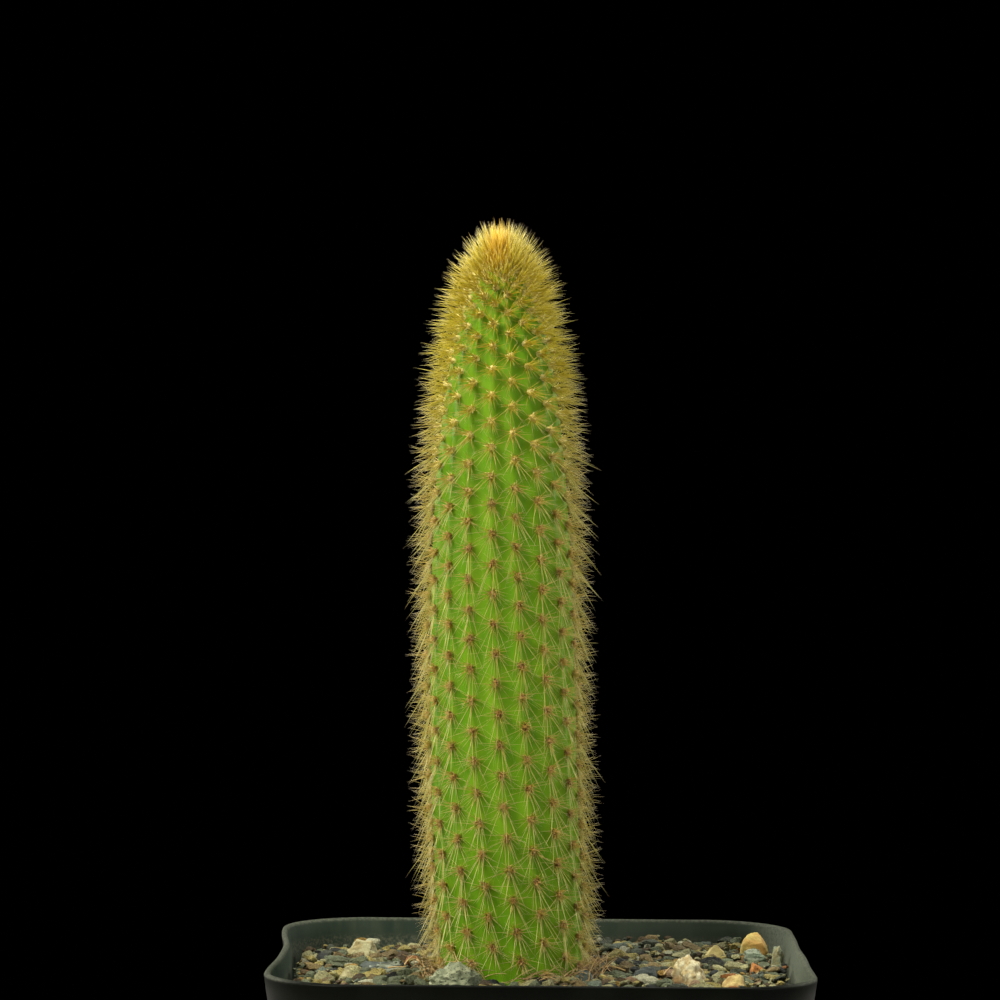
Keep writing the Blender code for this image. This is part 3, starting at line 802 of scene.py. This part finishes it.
# The larger stones, where their nodes are: middle and top above the ground, half sizes, turn, slot, seed and cut.
bigStones = {
    "granite": ((-13.8, -14.5, 3.8), (5.0, 4.0), 12, "granite", 4,
                dict(chops=6, keepShare=(0.75, 0.95), lumps=0.3, rough=0.16, knobs=0.13)),
    "slate": ((-26.4, 5.2, 1.6), (4.9, 4.0), -8, "slate", 2,
              dict(chops=9, keepShare=(0.6, 0.9), lumps=0.2, rough=0.12, layers=0.4)),
    "white": ((-30.6, 29.5, 1.8), (3.0, 2.6), 10, "pale_stone", 3, dict(chops=10, keepShare=(0.5, 0.85))),
    "cream": ((-32.3, -7.3, 1.8), (1.9, 1.8), 5, "pale_stone", 14, dict(chops=11, keepShare=(0.5, 0.8), rough=0.1)),
    "tan": ((38.2, 29.0, 3.6), (2.9, 2.8), 30, "tan_stone", 5, dict(chops=10, keepShare=(0.5, 0.85), rough=0.05)),
    "flat": ((30.8, 25.5, 1.9), (2.4, 2.6), 15, "tan_stone", 6, dict(chops=8, keepShare=(0.45, 0.85), rough=0.05)),
    "green": ((37.6, 18.6, 2.2), (2.6, 2.4), -20, "grey_stone", 7, dict(chops=8, keepShare=(0.55, 0.9), layers=0.25)),
    "upright": ((41.3, 14.2, 3.3), (1.2, 1.7), 0, "grey_stone", 8, dict(chops=9, keepShare=(0.6, 0.9), rough=0.1)),
    "rust": ((37.2, 4.2, 1.6), (2.2, 1.9), 40, "rust_stone", 9, dict(chops=9, keepShare=(0.5, 0.85), rough=0.12)),
    "knobbly": ((25.0, -8.6, 4.4), (3.0, 2.9), 0, "pale_stone", 10,
                dict(chops=3, keepShare=(0.7, 0.9), lumps=0.2, rough=0.12, knobs=0.2)),
    "dark": ((17.9, -4.6, 2.0), (2.4, 2.0), 25, "dark_stone", 11,
             dict(chops=9, keepShare=(0.55, 0.85), rough=0.12, layers=0.12)),
    "ochre": ((32.4, -14.3, 2.1), (2.3, 2.2), -35, "tan_stone", 12, dict(chops=9, keepShare=(0.55, 0.85))),
    "grey": ((7.6, -8.0, 1.8), (1.9, 1.7), -15, "grey_stone", 13, dict(chops=7, keepShare=(0.65, 0.9), rough=0.06)),
}

# Their minerals: two colours and the size of their patches, veins and their colour, specks, their colour and size.
minerals = {
    "granite": ((0.27, 0.295, 0.19), (0.16, 0.185, 0.115), 1.3, 0, (0.3, 0.3, 0.2), 0.9, (0.04, 0.05, 0.034), 0.46),
    "slate": ((0.05, 0.064, 0.055), (0.028, 0.037, 0.034), 2.5, 0.9, (0.23, 0.26, 0.2), 0.3, (0.012, 0.014, 0.014),
              0.6),
    "white": ((0.31, 0.3, 0.17), (0.24, 0.2, 0.09), 2.2, 0.2, (0.25, 0.2, 0.1), 0.2, (0.12, 0.1, 0.05), 0.5),
    "cream": ((0.42, 0.39, 0.22), (0.28, 0.25, 0.12), 1.2, 0.3, (0.15, 0.12, 0.06), 0.5, (0.08, 0.07, 0.04), 0.4),
    "tan": ((0.44, 0.35, 0.1), (0.42, 0.24, 0.06), 3.0, 0.2, (0.28, 0.2, 0.07), 0.15, (0.14, 0.09, 0.03), 0.5),
    "flat": ((0.45, 0.38, 0.15), (0.34, 0.28, 0.1), 2.4, 0.15, (0.3, 0.24, 0.1), 0.15, (0.14, 0.1, 0.04), 0.5),
    "green": ((0.14, 0.18, 0.125), (0.085, 0.11, 0.08), 2.0, 0.6, (0.27, 0.3, 0.22), 0.4, (0.03, 0.04, 0.03), 0.45),
    "upright": ((0.16, 0.19, 0.12), (0.22, 0.2, 0.1), 1.6, 0.3, (0.3, 0.3, 0.2), 0.4, (0.04, 0.045, 0.03), 0.45),
    "rust": ((0.38, 0.15, 0.022), (0.2, 0.085, 0.03), 1.4, 0.25, (0.1, 0.05, 0.02), 0.3, (0.05, 0.025, 0.012), 0.4),
    "knobbly": ((0.5, 0.47, 0.31), (0.34, 0.27, 0.13), 1.1, 0, (0.2, 0.14, 0.07), 0.35, (0.12, 0.07, 0.03), 0.4),
    "dark": ((0.028, 0.037, 0.036), (0.05, 0.06, 0.054), 1.6, 0.3, (0.13, 0.15, 0.13), 0.3, (0.008, 0.01, 0.01), 0.5),
    "ochre": ((0.42, 0.33, 0.13), (0.28, 0.19, 0.07), 1.8, 0.2, (0.16, 0.11, 0.05), 0.35, (0.1, 0.07, 0.03), 0.45),
    "grey": ((0.12, 0.155, 0.13), (0.08, 0.1, 0.088), 2.2, 0.4, (0.2, 0.23, 0.19), 0.3, (0.03, 0.036, 0.032), 0.45),
}


def mineralMaterial(name):
    base, second, patch, veins, vein, specks, speck, speckSize = minerals[name]
    material, coords = newMaterial(name + "Stone")
    patches, fine, dots = grain(coords, patch, 4), grain(coords, 0.3, 5, 0.72), cells(coords, speckSize)
    bands = grain(coords, 1.5, 4, 0.6, stretch=(0.35, 0.35, 2.4))
    colour = coats(base, (ease(patches, 0.4, 0.62), second), (ease(bands, 0.52, 0.6) * veins, vein),
                   (ease(dots, 0.32, 0.16) * specks, speck), (attribute(coords, "hollow"), (0.19, 0.105, 0.045)))
    darker, lighter = times(colour, (0.35, 0.34, 0.31)), times(colour, (1.5, 1.5, 1.42))
    colour = coats(colour, (ease(fine, 0.53, 0.7) * 0.4, lighter), (ease(fine, 0.47, 0.3) * 0.6, darker))
    relief = fine * 0.8 + bands * 0.6 * veins + dots * 0.6 * specks
    return dress(material, colour, 0.7 + fine * 0.25, relief, 0.8, 0.18, gloss=0.3)


gravel = {
    "floor": 70.9, "base": 75.0, "ground": 78.0, "highest": 79.75, "lower": 78.9, "clear": 4.5, "wall gap": 0.3,
    "big stone foot": 74.6, "bed gap": 0.35, "hollow": 0.9, "hollow from": (-16.0, 12.0), "cell": 0.35, "seed": 21,
    "reach": 43.0, "tilt": 0.35, "under": 70, "seat": 0.45, "bright": (0.62, 1.05),
    "half sizes": ((0.95, 1.25), (0.7, 1), (0.4, 0.75)),
}


# A larger stone, filling its node's place: hollow is the brown of the knobbly stone's underside and pits.
def bigStone(name, place, half, turn, slot, seed, cut):
    x, y, top = place
    foot, crest = gravel["big stone foot"], gravel["ground"] + top
    bm = stoneBm(random.Random(seed), 5, **cut)
    hollow = bm.verts.layers.float.new("hollow")
    for vert in bm.verts:
        if name == "knobbly":
            pitted = 1.3 * (0.25 - vert.co.z - 0.35 * vert.co.x) + 0.9 * (0.8 - vert.co.length)
            vert[hollow] = min(max(pitted, 0), 1)
    size = Matrix.Diagonal((*half, (crest - foot) / 2, 1))
    spot = Matrix.Translation((x, y, (crest + foot) / 2)) @ Matrix.Rotation(math.radians(turn), 4, "Z")
    bm.transform(Matrix.Scale(mm, 4) @ spot @ size)
    finishPiece(bmObject("stone" + name.capitalize(), bm, 50, mineralMaterial(name)), slot, "stone_" + name)


for name, row in bigStones.items():
    bigStone(name, *row)


# Small stones that the photograph shows: where they lie, their half sizes and turn, and colour.
smallStones = (
    ((25.9, 32.7), (1.9, 1.5, 1.2), 10, "cream"), ((27.7, 25.8), (1.7, 1.3, 1.1), 40, "ink"),
    ((30.4, 9.9), (1.4, 1.2, 1.1), 0, "slate"), ((33.4, 7.3), (1.3, 1.1, 1.1), 70, "slate"),
    ((40.4, -2.8), (1.0, 1.3, 1.3), 0, "white"), ((33.2, -0.4), (1.2, 1.0, 0.9), 25, "straw"),
    ((33.9, -8.2), (1.4, 1.2, 0.9), -20, "blue"), ((36.9, -14.6), (1.9, 1.6, 1.2), 15, "sage"),
    ((40.3, -15.8), (1.6, 1.6, 1.2), 60, "sage"), ((15.8, 7.3), (1.8, 1.4, 1.0), 20, "ochre"),
    ((19.9, 7.8), (2.0, 1.6, 1.5), -30, "straw"), ((21.6, 3.0), (0.9, 0.9, 1.2), 0, "white"),
    ((16.4, 36.9), (1.3, 1.2, 1.1), 0, "rust"), ((19.8, 38.3), (1.4, 1.3, 1.3), 0, "cream"),
    ((16.6, 21.8), (1.5, 1.4, 1.2), 50, "pink"), ((31.9, 36.9), (1.2, 1.1, 0.9), 0, "pink"),
    ((27.1, 41.0), (1.2, 1.0, 0.9), 0, "ochre"), ((34.4, 38.8), (1.5, 1.2, 0.9), 0, "ink"),
    ((-38.4, 15.2), (2.0, 1.9, 1.8), 20, "cream"), ((-34.4, 18.8), (1.9, 1.7, 1.6), 0, "tan"),
    ((-31.0, 11.2), (2.4, 1.6, 1.0), 8, "cream"), ((-39.4, -3.2), (1.4, 1.5, 1.5), 0, "rust"),
    ((-39.0, -9.1), (1.6, 1.3, 1.2), 30, "sage"), ((-36.7, -12.6), (2.2, 1.7, 1.5), -15, "ochre"),
    ((-26.5, -11.5), (2.7, 1.7, 1.0), -5, "tan"), ((-21.9, -15.4), (1.3, 1.3, 1.1), 0, "straw"),
    ((-19.6, -17.8), (1.6, 1.3, 1.2), 20, "straw"), ((-1.6, -17.0), (3.1, 1.8, 2.5), -8, "sage"),
    ((-7.3, -16.6), (2.2, 1.5, 2.1), 20, "cream"), ((11.0, -15.5), (1.4, 1.2, 2.1), 0, "ochre"),
    ((7.6, -17.2), (2.3, 1.3, 2.0), 5, "white"),
)
# From the largest to the smallest: the height that the heap may reach before one lands, tries, and radii.
sortsOfGravel = {
    "gravelBedding": (75.9, 700, 2.2, 1.5),
    "gravelSeen": (78.5, 0, 0, 0),
    "gravelCobbles": (77.2, 260, 2.7, 1.8),
    "gravelPebbles": (77.6, 3400, 1.65, 0.85),
    "gravelGrit": (77.9, 8500, 0.75, 0.36),
}


# How far a place on the gravel is from the pot's wall.
def roomAt(x, y):
    half = potHalf(gravel["ground"]) + pot["step"] - pot["wall"]
    corner = potCorner(gravel["ground"]) - pot["wall"]
    pastX, pastY = abs(x) - (half - corner), abs(y) - (half - corner)
    outside = math.hypot(max(pastX, 0), max(pastY, 0)) + min(max(pastX, pastY), 0)
    return corner - outside - (pot["dent"] if x < 0 else 2 * pot["wave"])


# Whether a place is within an oval that is turned: above nought inside, 1 in the middle.
def within(x, y, halfX, halfY, turn):
    c, s = math.cos(math.radians(turn)), math.sin(math.radians(turn))
    return 1 - (((x * c + y * s) / halfX) ** 2 + ((y * c - x * s) / halfY) ** 2)


# The height of the heap on a fine grid: each stone that lands raises it.
class heap:
    def __init__(self):
        axis = (np.arange(int(2 * pot["half"] / gravel["cell"])) + 0.5) * gravel["cell"] - pot["half"]
        self.x, self.y = np.meshgrid(axis, axis, indexing="ij")
        self.tops = np.full(self.x.shape, gravel["base"])
        for (x, y, top), half, turn, *others in bigStones.values():
            crest = gravel["ground"] + top
            self.cover(x, y, (*half, (crest - gravel["base"]) / 2), turn, (crest + gravel["base"]) / 2)

    def cell(self, c):
        return int((c + pot["half"]) / gravel["cell"])

    def dome(self, x, y, half, turn):
        reach = max(half[:2])
        part = tuple(slice(max(self.cell(c - reach), 0), self.cell(c + reach) + 1) for c in (x, y))
        return part, within(self.x[part] - x, self.y[part] - y, half[0], half[1], turn)

    def cover(self, x, y, half, turn, z):
        part, inside = self.dome(x, y, half, turn)
        top = np.where(inside > 0, z + half[2] * np.sqrt(np.maximum(inside, 0)), 0)
        self.tops[part] = np.maximum(self.tops[part], top)

    def topAt(self, x, y):
        return float(self.tops[self.cell(x), self.cell(y)])

    # The height at which a stone comes to rest, or None where it finds no room.
    def rest(self, x, y, half, turn, most):
        part, inside = self.dome(x, y, half, turn)
        under = self.tops[part][inside > 0]
        if not len(under) or under.mean() > most:
            return None
        z = np.percentile(under, gravel["under"]) + gravel["seat"] * half[2]
        return z if z + half[2] < gravel["lower" if beforeBigStone(x, y) else "highest"] else None


# Right before a larger stone, where the gravel lies lower and shows it; the white one is half buried.
def beforeBigStone(x, y):
    return any(abs(x - place[0]) < half[0] and 0 < place[1] - y < half[1] + gravel["clear"]
               for name, (place, half, *others) in bigStones.items() if name != "white")


def clearOfBigStones(x, y, room):
    return all(within(x - place[0], y - place[1], half[0] + room, half[1] + room, turn) <= 0
               for place, half, turn, *others in bigStones.values())


def gravelPlaces():
    rng = random.Random(gravel["seed"])
    pile, piles, reach, tilt = heap(), {}, gravel["reach"], gravel["tilt"]
    right, near = gravel["hollow from"]
    shares = [share for share, colour in palette.values()]
    for sort, (most, tries, largest, smallest) in sortsOfGravel.items():
        places, rows = [], {"size": [], "turn": [], "tint": [], "kind": []}

        def drop(x, y, half, turn, colour):
            sunk = gravel["hollow"] if x < right and y > near else 0      # it lies lower in the far left corner
            z = pile.rest(x, y, half, turn, most - sunk)
            if z is None:
                return
            pile.cover(x, y, half, turn, z)
            bright = rng.uniform(*gravel["bright"])
            places.append(Vector((x, y, z)) * mm)
            rows["size"].append([s * mm for s in half])
            rows["turn"].append((rng.uniform(-tilt, tilt), rng.uniform(-tilt, tilt), math.radians(turn)))
            rows["tint"].append([c * bright for c in palette[colour][1]] + [1])
            rows["kind"].append(rng.random())

        for (x, y), half, turn, colour in smallStones if sort == "gravelSeen" else ():
            drop(x, y, half, turn, colour)
        for attempt in range(tries):
            x, y = rng.uniform(-reach, reach), rng.uniform(-reach, reach)
            radius = largest + (smallest - largest) * attempt / tries
            half = [radius * rng.uniform(*share) for share in gravel["half sizes"]]
            colour = rng.choices(list(palette), shares)[0]
            turn = rng.uniform(0, 360)
            fromStem = math.hypot(x - stem["side"], y) - 0.95 * stem["radius"]
            if roomAt(x, y) > radius + gravel["wall gap"] and fromStem > 0.85 * radius:
                if clearOfBigStones(x, y, 0.75 * radius):
                    drop(x, y, half, turn, colour)
        print(sort, len(places))
        piles[sort] = pointMesh(sort, places, rows)
    return piles, pile


# Lays the shapes of a collection on points, each by its own turn and size.
def layingTree(sizes):
    tree, size = newTree("laying", sizes)
    shapes = geo(tree, "CollectionInfo",
                 {"Collection": size["shapes"], "Separate Children": True, "Reset Children": True})
    number = put(tree, "FunctionNodeRandomValue", {"data_type": "INT"},
                 {"Min": 0, "Max": size["number of shapes"] - 1, "Seed": size["seed"]})
    turn = put(tree, "FunctionNodeEulerToRotation", None, {0: named(tree, "turn", "FLOAT_VECTOR")})
    laid = geo(tree, "InstanceOnPoints",
               {"Points": size["Geometry"], "Instance": shapes, "Pick Instance": True, "Instance Index": number,
                "Rotation": turn, "Scale": named(tree, "size", "FLOAT_VECTOR")})
    return endTree(tree, laid, size["material"])


def shapeCollection(name, count, detail, sharp, **cut):
    group = bpy.data.collections.new(name)
    for i in range(count):
        shape = bmObject(name + str(i), stoneBm(random.Random(100 + i), detail, **cut), sharp)
        scene.collection.objects.unlink(shape)
        group.objects.link(shape)
    return group


gravelPiles, pile = gravelPlaces()
coarse = shapeCollection("coarseStone", 12, 4, 32, chops=11, keepShare=(0.5, 0.85), rough=0.17, layers=0.08)
medium = shapeCollection("mediumStone", 16, 2, 24, chops=11, keepShare=(0.45, 0.85), rough=0.17)
gritty = shapeCollection("grit", 6, 1, 20, chops=3, keepShare=(0.6, 0.9), rough=0.2)
sizes = {"shapes": coarse, "number of shapes": 1, "seed": 4, "material": gravelMaterial()}
stoneTree = layingTree(sizes)
for sort, mesh in gravelPiles.items():
    shapes = {"gravelCobbles": coarse, "gravelSeen": coarse, "gravelGrit": gritty}.get(sort, medium)
    sizes.update({"shapes": shapes, "number of shapes": len(shapes.objects)})
    finishPiece(runTree(stoneTree, sort, mesh, sizes), "gravel", "gravel_bed")


# Felt pads that the spines grow from

def feltMaterial():
    material, coords = newMaterial("areoleWool")
    wool = grain(coords, 0.16, 4, 0.7)
    colour = blend(ease(attribute(coords, "age"), 28, 50), (0.95, 0.84, 0.36), (0.3, 0.17, 0.06))
    colour = blend(ease(wool, 0.5, 0.35) * 0.6, colour, times(colour, (0.4, 0.33, 0.25)))
    return dress(material, colour, 0.85 + wool * 0.1, wool, 0.7, 0.08)


# Half sizes of a young and an old pad, and the age of the old one.
pads = {"young": (0.62, 0.62, 0.85), "old": (0.42, 0.42, 0.45), "old from": 45.0}
places = [Vector(row.co) for row in areoleMesh.vertices]
rows = {"age": [row.value for row in areoleMesh.attributes["arc"].data], "size": [], "turn": []}
for row, age in zip(areoleMesh.attributes["out"].data, rows["age"]):
    share = min(age / pads["old from"], 1)
    rows["size"].append([(new + (old - new) * share) * mm for new, old in zip(pads["young"], pads["old"])])
    rows["turn"].append(tuple(up.rotation_difference(Vector(row.vector)).to_euler()))
padShapes = shapeCollection("pad", 3, 2, 180, chops=0, lumps=0.3, rough=0.1)
sizes.update({"shapes": padShapes, "number of shapes": 3, "material": feltMaterial()})
finishPiece(runTree(stoneTree, "areolePads", pointMesh("pads", places, rows), sizes), "cactus_skin", "cactus")
for group in (coarse, medium, gritty, padShapes):
    for shape in list(group.objects):
        bpy.data.objects.remove(shape)


# The bed under the loose stones: fine grit painted near black, a painted shade for the gaps between them

def bedMaterial():
    material, coords = newMaterial("packedGrit")
    fine, shade = grain(coords, 0.5, 5, 0.7), split(cells(coords, 0.9, out="Color"))
    # Painted shade: the grit is painted near black for the shade in the gaps between the loose stones; its cells are
    # a little lighter.
    colour = coats((0.022, 0.018, 0.012), (ease(shade, 0.3, 0.8), (0.075, 0.062, 0.038)),
                   (ease(fine, 0.35, 0.7) * 0.6, (0.014, 0.012, 0.009)))
    return dress(material, colour, 0.92, fine + cells(coords, 0.9), 0.8, 0.4)


def gravelBase():
    inset = pot["wall"] + gravel["bed gap"]
    rings = [potRing(gravel["floor"], -inset), potRing(71.8, -inset)]
    rings += [potRing(z, pot["step"] - inset) for z in (73, 74, gravel["base"])]
    edge = rings[-1]
    for share in (0.9, 0.75, 0.6, 0.45, 0.3, 0.12):
        rings.append([Vector((p.x * share, p.y * share, p.z + 0.35 * noise.noise(p * share * 0.4))) for p in edge])
    return skinRings("gravelBase", rings, bedMaterial())


finishPiece(gravelBase(), "gravel", "gravel_bed")


# Dry fibres, old spines and straws that lie round the foot of the stem

litter = {
    "count": 330, "seed": 8, "length": (2.0, 4.8), "thickness": (0.1, 0.22), "steps": 5, "from stem": (0.3, 3.6),
    "rise": (0.0, 0.95), "curl": 0.5, "lift": 0.15, "drop": 0.12, "spread": 0.5, "heading": (0.9, 2.2), "clear": 0.15,
}
# Straws that the photograph shows: both ends, in millimetres, and thickness.
straws = (
    ((-22.8, 2.2, 79.0), (-21.3, 3.4, 80.5), 0.34), ((-20.7, 0.6, 80.3), (-19.6, -3.0, 78.7), 0.36),
    ((9.7, 3.2, 80.5), (11.6, 0.8, 79.1), 0.3), ((12.0, -1.5, 79.6), (14.6, -2.6, 79.0), 0.26),
    ((-25.5, -2.2, 79.1), (-22.4, -3.4, 79.5), 0.3), ((20.8, -9.6, 79.3), (22.2, -6.0, 80.2), 0.26),
)


def litterPaths():
    rng = random.Random(litter["seed"])
    points, edges, thick, tones = [], [], [], []
    middle, steps = Vector((stem["side"], 0, 0)), litter["steps"]

    def addPath(path, thickness, tone):
        for i, point in enumerate(path):
            if i:
                edges.append((len(points) - 1, len(points)))
            points.append(tuple(c * mm for c in point))
            thick.append(thickness / 2 * (1 - 0.5 * i / (len(path) - 1)))
            tones.append(tone)

    for start, end, thickness in straws:
        start, end = Vector(start), Vector(end)
        bend = Vector((rng.uniform(-0.3, 0.3), rng.uniform(-0.3, 0.3), rng.uniform(0, 0.2)))
        addPath([start.lerp(end, i / 4) + bend * math.sin(i / 4 * math.pi) for i in range(5)], thickness, 0.1)
    for number in range(litter["count"]):
        side = rng.choice((0, 0, math.pi, math.pi, rng.uniform(0, tau)))      # most lie left and right
        angle = side + rng.gauss(0, litter["spread"])
        reach = stem["radius"] + rng.uniform(*litter["from stem"])
        spot = Vector((stem["side"] + reach * math.cos(angle), reach * math.sin(angle), 0))
        heading = angle + rng.choice((-1, 1)) * rng.uniform(*litter["heading"])
        rise = rng.uniform(*litter["rise"])
        step = rng.uniform(*litter["length"]) / steps
        z = pile.topAt(spot.x, spot.y) + litter["lift"]
        curl = rng.uniform(-1, 1) * litter["curl"] / steps
        path = []
        for i in range(steps + 1):
            out, least = spot - middle, stem["radius"] + litter["clear"]
            if out.length < least:
                spot = middle + out.normalized() * least
            z = max(z, pile.topAt(spot.x, spot.y) + litter["lift"])
            path.append(Vector((spot.x, spot.y, z)))
            spot = spot + Vector((math.cos(heading), math.sin(heading), 0)) * step
            z += rise * step
            rise -= litter["drop"]
            heading += curl
        addPath(path, rng.uniform(*litter["thickness"]), rng.random())
    mesh = bpy.data.meshes.new("litter")
    mesh.from_pydata(points, edges, [])
    for label, values in (("thick", thick), ("tone", tones)):
        mesh.attributes.new(label, "FLOAT", "POINT").data.foreach_set("value", values)
    return mesh


def fibreTree(sizes):
    tree, size = newTree("fibres", sizes)
    curve = geo(tree, "MeshToCurve", {"Mesh": size["Geometry"]})
    profile = geo(tree, "CurvePrimitiveCircle", {"Resolution": size["sides"], "Radius": 1})
    fibres = geo(tree, "CurveToMesh", {"Curve": curve, "Profile Curve": profile, "Scale": named(tree, "thick") * mm,
                                       "Fill Caps": True})
    return endTree(tree, fibres, size["material"])


def strawMaterial():
    material, coords = newMaterial("driedStraw")
    fibre = grain(coords, 0.4, 4, 0.7)
    colour = coats((0.38, 0.25, 0.09), (ease(attribute(coords, "tone"), 0.25, 0.85), (0.15, 0.075, 0.025)),
                   (ease(fibre, 0.4, 0.7) * 0.5, (0.5, 0.4, 0.2)))
    return dress(material, colour, 0.65 + fibre * 0.3, fibre, 0.5, 0.05)


sizes = {"sides": 5, "material": strawMaterial()}
finishPiece(runTree(fibreTree(sizes), "driedFibres", litterPaths(), sizes), "gravel", "gravel_bed")


# The growing medium, seen through the drain holes

def mixMaterial():
    material, coords = newMaterial("pottingMix")
    crumbs, fine = cells(coords, 2.4), grain(coords, 0.6, 5, 0.7)
    colour = coats((0.055, 0.034, 0.02), (ease(crumbs, 0.2, 0.8), (0.022, 0.014, 0.009)),
                   (ease(fine, 0.5, 0.7) * 0.5, (0.1, 0.065, 0.035)),
                   (ease(cells(coords, 1.3), 0.16, 0.08), (0.42, 0.4, 0.34)))      # perlite
    return dress(material, colour, 0.85 + fine * 0.1, crumbs + fine * 0.6, 0.9, 0.6)


bpy.data.objects["potting_mix"].material_slots[0].material = mixMaterial()
print("potting mix dressed")
